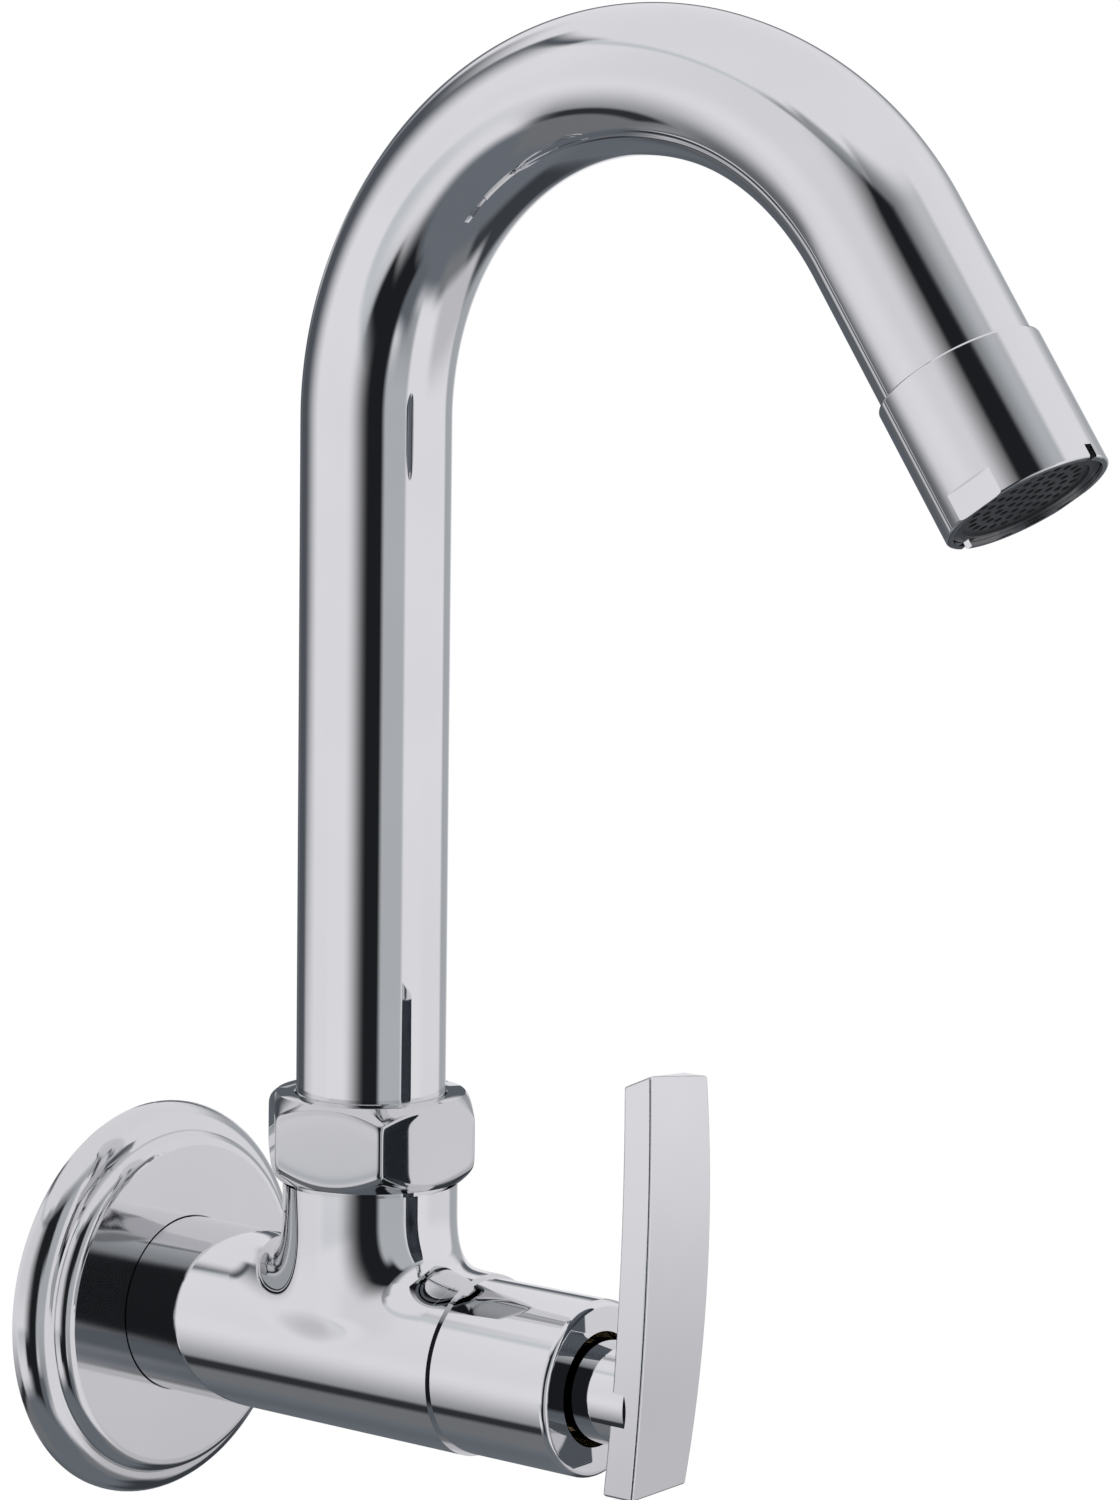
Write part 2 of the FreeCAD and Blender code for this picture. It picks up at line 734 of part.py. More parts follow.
def make_headwork_bush():
    """Brass bush screwed into the barrel: it carries the spindle and holds the discs."""
    body = new_body("headwork_bush")
    collar = out(bush_collar_back)
    hex_back = out(bush_hex_back)
    hex_front = out(bush_hex_front)
    spindle_bore = dim.spindle_radius + dim.fit_gap
    turn_up(body, "Turning", [
        (out(shank_end), dim.cavity_radius),
        (out(shank_end), shank_radius),
        (out(chamber_front + dim.fit_gap), shank_radius),
        (out(chamber_front + dim.fit_gap), headwork_thread),
        (collar, headwork_thread),
        (collar, bush_collar_radius),
        (hex_back, bush_collar_radius),
        (hex_back, bush_nose_radius),
        (out(bush_nose_end), bush_nose_radius),
        (out(bush_nose_end), spindle_bore),
        (out(cavity_front), spindle_bore),
        (out(cavity_front), dim.cavity_radius),
    ])
    sketch = new_sketch(body, "XZ_Plane", "HexRound", offset=-hex_back)
    hexagon(sketch, bush_hex_flats)
    circle(sketch, spindle_bore)
    pad(body, "Hex", sketch, hex_back - hex_front)
    sketch = new_sketch(body, "YZ_Plane", "WindowOutline")
    rectangle(sketch, out(spindle_flange_back), out(window_back),
              -dim.window_width / 2.0, dim.window_width / 2.0)
    pocket(body, "Windows", sketch, (shank_radius + CLEAR) * 2.0, Midplane=True)
    sketch = new_sketch(body, "XY_Plane", "LugSlotOutline")
    rectangle(sketch, -(dim.lug_width / 2.0 + dim.slip_gap), dim.lug_width / 2.0 + dim.slip_gap,
              out(moving_disc_back + dim.slip_gap), out(shank_end - CLEAR))
    pocket(body, "LugSlots", sketch, (shank_radius + CLEAR) * 2.0, Midplane=True)
    return body


def make_headwork_gasket():
    """Fibre ring between the bush's collar and the barrel's front face."""
    body = new_body("headwork_gasket")
    turn_up(body, "Ring", [
        (out(body_front), headwork_thread + dim.fit_gap),
        (out(body_front), gasket_outer),
        (out(bush_collar_back), gasket_outer),
        (out(bush_collar_back), headwork_thread + dim.fit_gap),
    ])
    return body


def port_sector(sketch, turn):
    """Draw one sector-shaped water port of a ceramic disc, centred on the turn angle."""
    inner = dim.disc_port_inner
    outer = disc_port_outer
    low = as_size(turn) - dim.disc_port_half_angle
    high = as_size(turn) + dim.disc_port_half_angle
    outline(sketch, [
        (inner * cosine(low), inner * sine(low), -inner),
        (outer * cosine(low), outer * sine(low)),
        (outer * cosine(high), outer * sine(high), outer),
        (inner * cosine(high), inner * sine(high)),
    ])


def make_ceramic_disc(label, back, radius, ports):
    """Polished ceramic disc with two opposite ports."""
    body = new_body(label)
    sketch = new_sketch(body, "XZ_Plane", "DiscRound", offset=-out(back))
    circle(sketch, radius)
    for turn in ports:
        port_sector(sketch, turn)
    pad(body, "Disc", sketch, dim.disc_thickness)
    return body


def make_fixed_disc():
    """Lower disc: its two lugs stand in the bush's slots, so it can't turn."""
    disc_radius = dim.cavity_radius - dim.slip_gap
    body = make_ceramic_disc("fixed_disc", disc_back, disc_radius, (0.0, HALF_TURN))
    for side, name in ((1.0, "UpperLug"), (-1.0, "LowerLug")):
        sketch = new_sketch(body, "XZ_Plane", f"{name}Outline", offset=-out(disc_back))
        rectangle(sketch, -dim.lug_width / 2.0, dim.lug_width / 2.0,
                  disc_port_outer * side, lug_reach * side)
        pad(body, name, sketch, dim.disc_thickness)
    return body


def make_seat_seal():
    """Rubber ring that seals the fixed disc to the seat."""
    inner = dim.seat_radius + dim.slip_gap
    outer = dim.cavity_radius - dim.slip_gap * 2.0
    body = new_body("seat_seal")
    turn_up(body, "Ring", [
        (out(-dim.seat_back), inner),
        (out(-dim.seat_back), outer),
        (out(disc_back), outer),
        (out(disc_back), inner),
    ])
    return body


def make_cover_sleeve():
    """Chromed sleeve over the headwork, open at the front round the lever's hub."""
    body = new_body("cover_sleeve")
    back = out(body_front)
    front = out(sleeve_front)
    turn_up(body, "Shell", [
        (back, sleeve_bore),
        (back, sleeve_radius),
        (front + dim.sleeve_edge, sleeve_radius),
        (front, sleeve_radius - dim.sleeve_edge, dim.sleeve_edge),
        (front, sleeve_mouth),
        (front + dim.sleeve_face, sleeve_mouth),
        (front + dim.sleeve_face, sleeve_bore),
    ])
    return body


def make_spout_nut():
    """Chromed hexagon nut that holds the spout's ferrule down in the branch."""
    body = on_spout("spout_nut")
    corner = nut_flats / math.sqrt(3.0) + CLEAR
    face = nut_flats / 2.0 - dim.nut_face_inset
    foot = nut_flats / 2.0 - dim.nut_foot_inset
    top_drop = (corner - face) * tangent(dim.nut_bevel)
    foot_rise = (corner - foot) * tangent(dim.nut_bevel)
    sketch = new_sketch(body, "XY_Plane", "HexRound", offset=nut_bottom)
    hexagon(sketch, nut_flats, turn=dim.nut_turn)
    pad(body, "Hex", sketch, nut_top - nut_bottom)
    corners = edge_names(body, lambda edge: edge.Curve.TypeId == "Part::GeomLine"
                         and abs(edge.Vertexes[0].Z - edge.Vertexes[-1].Z) > dim.slip_gap.number)
    dress(body, "Fillet", "SoftCorners", corners, dim.nut_corner_fillet)
    upright_cut(body, "TopBevel", [
        (face, nut_top),
        (corner, nut_top - top_drop),
        (corner, nut_top),
    ])
    upright_cut(body, "FootBevel", [
        (foot, nut_bottom),
        (corner, nut_bottom),
        (corner, nut_bottom + foot_rise),
    ])
    upright_cut(body, "Bore", [
        (0.0, nut_bottom),
        (nut_thread, nut_bottom),
        (nut_thread, nut_lip_base),
        (nut_lip_radius, nut_lip_base),
        (nut_lip_radius, nut_top - dim.nut_sink),
        (nut_lip_radius + dim.nut_sink, nut_top),
        (0.0, nut_top),
    ])
    return body


# Pieces that turn with the lever

def make_spindle():
    """Brass spindle: drive tang, flange, two ring grooves, clip groove and splined end."""
    body = new_body("spindle")
    stem = dim.spindle_radius
    grooves = []
    for place in (first_groove, second_groove):
        grooves += [
            (out(place), stem),
            (out(place), groove_floor),
            (out(place + dim.groove_width), groove_floor),
            (out(place + dim.groove_width), stem),
        ]
    turn_up(body, "Turning", [
        (out(spindle_flange_back), 0.0),
        (out(spindle_flange_back), spindle_flange_radius),
        (out(washer_back), spindle_flange_radius),
        (out(washer_back), stem),
        *grooves,
        (out(clip_back - dim.slip_gap), stem),
        (out(clip_back - dim.slip_gap), clip_floor),
        (out(clip_front + dim.slip_gap), clip_floor),
        (out(clip_front + dim.slip_gap), stem),
        (out(clip_front + dim.clip_thickness), stem),
        (out(clip_front + dim.clip_thickness), spline_radius),
        (out(spindle_end), spline_radius),
        (out(spindle_end), 0.0),
    ])
    half_length = disc_port_outer
    sketch = new_sketch(body, "XZ_Plane", "BarOutline", offset=-out(moving_disc_front))
    rectangle(sketch, -half_length, half_length, -dim.bar_width / 2.0, dim.bar_width / 2.0)
    pad(body, "Bar", sketch, dim.bar_length)
    half_tang = dim.drive_slot_width / 2.0 - dim.slip_gap
    sketch = new_sketch(body, "XZ_Plane", "TangOutline", offset=-out(tang_back))
    rectangle(sketch, -half_length, half_length, -half_tang, half_tang)
    pad(body, "Tang", sketch, dim.drive_slot_depth)
    sketch = new_sketch(body, "XZ_Plane", "SplineNotch", offset=-out(spindle_end))
    floor = spline_radius - dim.spline_depth
    crest = spline_radius + dim.spline_depth
    outline(sketch, [(0.0, floor), (dim.spline_depth, crest), (-dim.spline_depth, crest)])
    notch = pocket(body, "Notch", sketch, spindle_end - clip_front - dim.clip_thickness)
    ring_of(body, "Spline", notch, sketch, int(dim.spline_teeth.number))
    return body


def make_spindle_clip():
    """Spring clip in front of the bush's nose."""
    body = new_body("spindle_circlip")
    sketch = new_sketch(body, "XZ_Plane", "ClipRound", offset=-out(clip_back))
    circle(sketch, clip_outer)
    circle(sketch, clip_floor + dim.fit_gap)
    pad(body, "Ring", sketch, dim.clip_thickness)
    sketch = new_sketch(body, "XZ_Plane", "OpeningOutline",
                        offset=-out(clip_front))
    rectangle(sketch, -dim.clip_opening / 2.0, dim.clip_opening / 2.0,
              0.0, clip_outer + CLEAR)
    pocket(body, "Opening", sketch, dim.clip_thickness)
    return body


def make_thrust_washer():
    """Slip washer between the spindle's flange and the bush."""
    body = new_body("thrust_washer")
    turn_up(body, "Ring", [
        (out(washer_back), dim.spindle_radius + dim.slip_gap),
        (out(washer_back), spindle_flange_radius),
        (out(cavity_front), spindle_flange_radius),
        (out(cavity_front), dim.spindle_radius + dim.slip_gap),
    ])
    return body


def make_moving_disc():
    """Upper disc: the spindle's tang turns it over the fixed one."""
    quarter = HALF_TURN / 2.0
    body = make_ceramic_disc("moving_disc", moving_disc_back, spindle_flange_radius,
                             (quarter, -quarter))
    sketch = new_sketch(body, "XZ_Plane", "SlotOutline", offset=-out(moving_disc_front))
    reach = spindle_flange_radius + CLEAR
    rectangle(sketch, -reach, reach, -dim.drive_slot_width / 2.0, dim.drive_slot_width / 2.0)
    pocket(body, "DriveSlot", sketch, dim.drive_slot_depth)
    return body


def blade_side(sketch, side, stock):
    """Draw the waste beside one bowed long edge of the blade's stock."""
    high = dim.lever_top
    low = -dim.lever_bottom
    beyond = (stock / 2.0 + CLEAR) * side
    top_x = dim.blade_top_width / 2.0 * side
    bottom_x = dim.blade_bottom_width / 2.0 * side
    bow = bulge_radius(high - low, (dim.blade_top_width - dim.blade_bottom_width) / 2.0,
                       dim.blade_side_bulge)
    outline(sketch, [
        (top_x, high, bow * side),
        (top_x, high + CLEAR),
        (beyond, high + CLEAR),
        (beyond, low - CLEAR),
        (bottom_x, low - CLEAR),
        (bottom_x, low),
    ])


def make_lever():
    """Bowed blade and hub in one casting, with the spline bore and the grub screw's hole."""
    body = new_body("lever")
    top = dim.lever_top
    bottom = -dim.lever_bottom
    thickness = dim.blade_thickness
    sketch = new_sketch(body, "YZ_Plane", "BladeOutline")
    outline(sketch, [
        (out(blade_front_top), top),
        (out(blade_front_bottom), bottom, dim.blade_bow),
        (out(blade_front_bottom - thickness - dim.blade_swell), bottom),
        (out(blade_front_top - thickness), top - dim.blade_top_slant,
         -(dim.blade_bow - thickness)),
    ])
    stock = dim.blade_top_width + dim.blade_bottom_width
    pad(body, "Blade", sketch, stock, Midplane=True)
    for side, name in ((1.0, "RightSide"), (-1.0, "LeftSide")):
        sketch = new_sketch(body, "XZ_Plane", f"{name}Waste")
        blade_side(sketch, side, stock)
        reach = dim.spout_offset + blade_front_top + CLEAR
        pocket(body, name, sketch, reach, Reversed=True)
    half = dim.blade_top_width / 2.0
    sketch = new_sketch(body, "XZ_Plane", "TopWaste")
    outline(sketch, [
        (-half, top),
        (stock, top),
        (stock, top - (stock + half) * tangent(dim.blade_top_lean)),
    ])
    pocket(body, "LeaningTop", sketch, reach, Reversed=True)
    dress(body, "Fillet", "SoftEdges", edge_names(body, lambda edge: True), dim.blade_edge)
    sketch = new_sketch(body, "XZ_Plane", "HubRound", offset=-out(hub_back))
    circle(sketch, dim.hub_radius)
    pad(body, "Hub", sketch, hub_root - hub_back)
    sketch = new_sketch(body, "XZ_Plane", "BoreRound", offset=-out(hub_back))
    circle(sketch, spline_bore)
    pocket(body, "SplineBore", sketch, dim.hub_bore_depth, Reversed=True)
    sketch = new_sketch(body, "XY_Plane", "GrubRound", offset=-(dim.hub_radius + CLEAR))
    circle(sketch, dim.grub_radius, y=out(grub_place))
    pocket(body, "GrubHole", sketch, dim.hub_radius + CLEAR, Reversed=True)
    return body


def make_grub_screw():
    """Headless socket screw under the hub, tight on the spline."""
    body = new_body("lever_grub_screw", base=(out(grub_place), -spline_bore))
    sketch = new_sketch(body, "XY_Plane", "ScrewRound", offset=-grub_length)
    circle(sketch, dim.grub_radius - dim.fit_gap)
    pad(body, "Shank", sketch, grub_length)
    sketch = new_sketch(body, "XY_Plane", "KeyOutline", offset=-grub_length)
    hexagon(sketch, dim.grub_key)
    pocket(body, "Key", sketch, grub_length / 2.0, Reversed=True)
    return body


# Pieces that swivel with the spout

def make_spout_tube():
    """Swan-neck tube: a long riser, one round bend and a short run down to the outlet."""
    body = on_spout("spout_tube")
    path = new_sketch(body, "YZ_Plane", "Centreline")
    foot = FreeCAD.Vector(0, tube_foot.number, 0)
    start = FreeCAD.Vector(0, dim.bend_start.number, 0)
    bend_end = FreeCAD.Vector(bend_end_y.number, bend_end_z.number, 0)
    end_y = bend_end_y - last_run * sine(dim.bend_turn)
    end_z = bend_end_z + last_run * cosine(dim.bend_turn)
    end = FreeCAD.Vector(end_y.number, end_z.number, 0)
    centre = FreeCAD.Vector(-dim.bend_radius.number, dim.bend_start.number, 0)
    riser = path.addGeometry(Part.LineSegment(foot, start))
    round_bend = Part.Circle(centre, FreeCAD.Vector(0, 0, 1), dim.bend_radius.number)
    turn = math.radians(dim.bend_turn.number)
    bend = path.addGeometry(Part.ArcOfCircle(round_bend, 0.0, turn))
    run = path.addGeometry(Part.LineSegment(bend_end, end))
    pin_point(path, riser, 1, 0.0, tube_foot)
    pin_point(path, riser, 2, 0.0, dim.bend_start)
    constrain(path, "Coincident", riser, 2, bend, 1)
    pin_point(path, bend, 3, -dim.bend_radius, dim.bend_start)
    constrain(path, "Coincident", bend, 2, run, 1)
    constrain(path, "DistanceX", -1, 1, bend, 2, value=bend_end_y)
    pin_point(path, run, 2, end_y, end_z)
    sketch = new_sketch(body, "XY_Plane", "TubeRound", offset=tube_foot)
    circle(sketch, dim.tube_radius)
    circle(sketch, tube_bore)
    doc.recompute()
    feature(body, "AdditivePipe", "Tube", Profile=sketch, Spine=path)
    return body


def make_spout_ferrule():
    """Brass ferrule brazed into the tube's foot: it turns in the branch's socket."""
    body = on_spout("spout_ferrule")
    grooves = []
    for place in (lower_ring, upper_ring):
        grooves += [
            (plug_radius, place),
            (ring_groove_floor, place),
            (ring_groove_floor, place + dim.ring_groove_width),
            (plug_radius, place + dim.ring_groove_width),
        ]
    upright(body, "Turning", [
        (ferrule_bore, ferrule_foot),
        (plug_radius, ferrule_foot),
        *grooves,
        (plug_radius, flange_base),
        (ferrule_flange_radius, flange_base),
        (ferrule_flange_radius, tube_foot),
        (tube_bore - dim.fit_gap, tube_foot),
        (tube_bore - dim.fit_gap, ferrule_top),
        (ferrule_bore, ferrule_top),
    ])
    return body


def make_thrust_ring():
    """Slip ring under the ferrule's flange, on top of the branch."""
    body = on_spout("spout_thrust_ring")
    upright(body, "Ring", tube_outline(
        socket_radius, ferrule_flange_radius - dim.branch_chamfer,
        branch_top, flange_base))
    return body


def make_slip_ring():
    """Slip ring between the ferrule's flange and the nut's lip."""
    body = on_spout("spout_slip_ring")
    upright(body, "Ring", tube_outline(
        dim.tube_radius + dim.fit_gap, ferrule_flange_radius,
        tube_foot, nut_lip_base))
    return body


def make_aerator_housing():
    """Chromed sleeve screwed on the tube's end, with wrench flats and two key notches."""
    body = on_outlet("aerator_housing")
    edge = dim.housing_edge
    radius = housing_radius
    upright(body, "Turning", [
        (mouth_radius, 0.0),
        (radius - edge, 0.0),
        (radius, edge, edge),
        (radius, housing_length - edge),
        (radius - edge, housing_length, edge),
        (tube_thread, housing_length),
        (tube_thread, cartridge_top),
        (mouth_radius, cartridge_top),
    ])
    for side, name in ((1.0, "RightFlat"), (-1.0, "LeftFlat")):
        sketch = new_sketch(body, "XY_Plane", f"{name}Waste", offset=dim.wrench_height)
        rectangle(sketch, wrench_flats / 2.0 * side, (radius + CLEAR) * side,
                  -radius, radius)
        pocket(body, name, sketch, dim.wrench_height)
    sketch = new_sketch(body, "XY_Plane", "KeyOutline", offset=dim.key_depth)
    rectangle(sketch, -dim.key_width / 2.0, dim.key_width / 2.0,
              -(radius + CLEAR), radius + CLEAR)
    pocket(body, "KeyNotches", sketch, dim.key_depth)
    return body


def make_aerator_cartridge():
    """Plastic cup that holds the aerator's grid, screens and diffuser."""
    body = on_outlet("aerator_cartridge")
    upright(body, "Cup", [
        (lip_radius, dim.cartridge_face),
        (cartridge_radius, dim.cartridge_face),
        (cartridge_radius, cartridge_top),
        (cartridge_bore, cartridge_top),
        (cartridge_bore, grid_base),
        (lip_radius, grid_base),
    ])
    sketch = new_sketch(body, "XY_Plane", "KeyOutline", offset=dim.key_depth)
    rectangle(sketch, -dim.key_width / 2.0, dim.key_width / 2.0,
              -(cartridge_radius + CLEAR), -cartridge_bore)
    pocket(body, "LowerKeyNotch", sketch, dim.key_depth)
    sketch = new_sketch(body, "XY_Plane", "OtherKeyOutline", offset=dim.key_depth)
    rectangle(sketch, -dim.key_width / 2.0, dim.key_width / 2.0,
              cartridge_bore, cartridge_radius + CLEAR)
    pocket(body, "UpperKeyNotch", sketch, dim.key_depth)
    return body


def make_outlet_ring(label, inner, outer, low, high):
    """Plain ring on the outlet's axis."""
    body = on_outlet(label)
    upright(body, "Ring", tube_outline(inner, outer, low, high))
    return body


def make_outlet_disc(label, low, thickness):
    """Plain disc on the outlet's axis, ready to be drilled."""
    body = on_outlet(label)
    sketch = new_sketch(body, "XY_Plane", "DiscRound", offset=low)
    circle(sketch, insert_radius)
    pad(body, "Disc", sketch, thickness)
    return body


def make_aerator_grid():
    """Drilled outlet grid, seated on the cartridge's lip."""
    body = make_outlet_disc("aerator_grid", grid_base, dim.grid_thickness)
    perforate(body, "Grid", lower_screen_base, dim.grid_thickness,
              dim.grid_hole, grid_pitch, GRID_RINGS)
    return body


def make_aerator_screens():
    """Two fine screens with the spacer between them, as a group of two solids."""
    screens = []
    for name, low in (("lower_screen", lower_screen_base), ("upper_screen", upper_screen_base)):
        screen = make_outlet_disc(name, low, dim.screen_thickness)
        perforate(screen, "Screen", low + dim.screen_thickness, dim.screen_thickness,
                  dim.screen_hole, grid_pitch, SCREEN_RINGS)
        screens.append(screen)
    group = doc.addObject("Part::Compound", "aerator_screens")
    group.Label = "aerator_screens"
    group.Links = screens
    return group


def make_aerator_diffuser():
    """Drilled diffuser with a skirt that reaches up to the gasket."""
    body = make_outlet_disc("aerator_diffuser", diffuser_base, dim.diffuser_thickness)
    sketch = new_sketch(body, "XY_Plane", "SkirtRound", offset=diffuser_top)
    circle(sketch, insert_radius)
    circle(sketch, insert_radius - dim.spacer_wall)
    pad(body, "Skirt", sketch, dim.diffuser_skirt)
    perforate(body, "Diffuser", diffuser_top, dim.diffuser_thickness,
              dim.diffuser_hole, grid_pitch, DIFFUSER_RINGS)
    return body


upright_spin = FreeCAD.Rotation()
barrel_spin = FreeCAD.Rotation(FreeCAD.Vector(1, 0, 0), HALF_TURN / 2.0)
stem_section = (dim.spindle_radius - groove_floor) / 2.0
stem_centre = groove_floor + stem_section
plug_section = (socket_radius - dim.fit_gap - ring_groove_floor) / 2.0
plug_centre = ring_groove_floor + plug_section

nodes = [
    make_valve_body(),
    make_wall_flange(),
    make_headwork_bush(),
    make_headwork_gasket(),
    make_fixed_disc(),
    make_seat_seal(),
    make_cover_sleeve(),
    make_spout_nut(),
    make_spindle(),
    rubber_rings("spindle_o_rings", stem_centre, stem_section,
                 [(out(place + dim.groove_width / 2.0), 0.0)
                  for place in (first_groove, second_groove)], barrel_spin),
    make_spindle_clip(),
    make_thrust_washer(),
    make_moving_disc(),
    make_lever(),
    make_grub_screw(),
    make_spout_tube(),
    make_spout_ferrule(),
    rubber_rings("spout_o_rings", plug_centre, plug_section,
                 [(-dim.spout_offset, place + dim.ring_groove_width / 2.0)
                  for place in (lower_ring, upper_ring)], upright_spin),
    make_thrust_ring(),
    make_slip_ring(),
    make_aerator_housing(),
    make_outlet_ring("aerator_gasket", tube_bore - dim.aerator_gasket_lap, cartridge_radius,
                     cartridge_top, tube_end_depth),
    make_aerator_cartridge(),
    make_aerator_grid(),
    make_aerator_screens(),
    make_outlet_ring("aerator_spacer", insert_radius - dim.spacer_wall, insert_radius,
                     spacer_base, upper_screen_base),
    make_aerator_diffuser(),
]
doc.recompute()

# Nothing is written unless every object is sound
for item in doc.Objects:
    if "Invalid" in item.State or "Error" in item.State:
        raise RuntimeError(f"{item.Name} failed: {item.State}")
for node in nodes:
    if node.Shape.isNull() or not node.Shape.isValid() or not node.Shape.Solids:
        raise RuntimeError(f"{node.Label} has no sound shape")

os.makedirs("parts", exist_ok=True)
for node in nodes:
    node.Shape.exportStep(os.path.join("parts", f"{node.Label}.step"))
    box = node.Shape.BoundBox
    print(f"{node.Label}: {len(node.Shape.Solids)} solid(s), {node.Shape.Volume:.0f} mm3, "
          f"x {box.XMin:.1f} {box.XMax:.1f}, y {box.YMin:.1f} {box.YMax:.1f}, "
          f"z {box.ZMin:.1f} {box.ZMax:.1f}")
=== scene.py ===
import logging
import math
from dataclasses import dataclass, field
from enum import Enum
from typing import Iterable, NamedTuple, Sequence, Union

import bmesh
import bpy
from mathutils import Matrix, Vector


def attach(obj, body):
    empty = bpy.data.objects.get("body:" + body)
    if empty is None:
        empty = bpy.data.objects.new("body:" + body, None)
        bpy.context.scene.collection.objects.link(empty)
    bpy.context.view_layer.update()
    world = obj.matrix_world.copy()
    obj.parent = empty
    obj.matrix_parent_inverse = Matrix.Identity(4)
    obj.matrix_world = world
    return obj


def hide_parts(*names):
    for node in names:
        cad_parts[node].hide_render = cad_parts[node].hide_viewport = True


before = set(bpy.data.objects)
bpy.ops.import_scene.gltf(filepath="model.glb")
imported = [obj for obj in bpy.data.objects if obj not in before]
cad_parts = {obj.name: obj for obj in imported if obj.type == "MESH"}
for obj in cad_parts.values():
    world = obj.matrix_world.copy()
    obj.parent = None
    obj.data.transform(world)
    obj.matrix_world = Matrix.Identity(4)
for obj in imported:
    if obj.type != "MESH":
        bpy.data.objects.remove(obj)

# A wall-mounted sink tap: chromed body, wall flange, lever and swivel swan-neck spout.
# Lengths are in metres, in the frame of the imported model: +Z up, the tap stands out along -Y.

logging.basicConfig(level=logging.INFO, format="%(name)s: %(message)s")
log = logging.getLogger("sink_tap")

MM = 0.001
FULL_TURN = 2.0 * math.pi
DEGREES = 180.0 / math.pi

# The spout's axis stands this far in front of the wall.
SPOUT_OFFSET = 44.0 * MM

# Faces that meet at a larger angle than this keep a sharp edge between them.
CREASE = math.radians(40.0)

# What the plating reflects. The surroundings are worked out for it.
PLATE = (0.80, 0.803, 0.812)
WHITE = (1.0, 1.0, 1.0)

# A screen's tones, from 0 to the top one, as light.
TOP_TONE = 255.0
SCREEN_LIFT = 0.055
SCREEN_POWER = 2.4

Colour = tuple[float, float, float]
Point = tuple[float, float, float]
Span = tuple[float, float]
Ring = list[Vector]
Value = Union[float, int, Sequence[float], "Signal"]


class Body(Enum):
    """The bodies of the tap that the pieces built here ride on."""

    FIXED = "body"
    SPOUT = "spout"


class Slot(Enum):
    """The material slots of the record."""

    CHROME = "chrome"


# Shader trees

@dataclass(frozen=True)
class Grain:
    """A noise pattern in the tap's frame: features per metre, octaves and the scale of each axis."""

    scale: float
    detail: float
    stretch: Point = (1.0, 1.0, 1.0)


class Signal:
    """One output socket of a shader tree, with the arithmetic that it takes part in."""

    def __init__(self, tree: "Tree", socket: bpy.types.NodeSocket) -> None:
        """Keep the socket and the tree that it belongs to."""
        self.tree = tree
        self.socket = socket

    def __add__(self, other: Value) -> "Signal":
        """Sum of two values."""
        return self.tree.maths("ADD", self, other)

    def __radd__(self, other: Value) -> "Signal":
        """Sum with a plain number on the left."""
        return self.tree.maths("ADD", other, self)

    def __sub__(self, other: Value) -> "Signal":
        """Difference of two values."""
        return self.tree.maths("SUBTRACT", self, other)

    def __rsub__(self, other: Value) -> "Signal":
        """Difference with a plain number on the left."""
        return self.tree.maths("SUBTRACT", other, self)

    def __mul__(self, other: Value) -> "Signal":
        """Product of two values."""
        return self.tree.maths("MULTIPLY", self, other)

    def __rmul__(self, other: Value) -> "Signal":
        """Product with a plain number on the left."""
        return self.tree.maths("MULTIPLY", other, self)


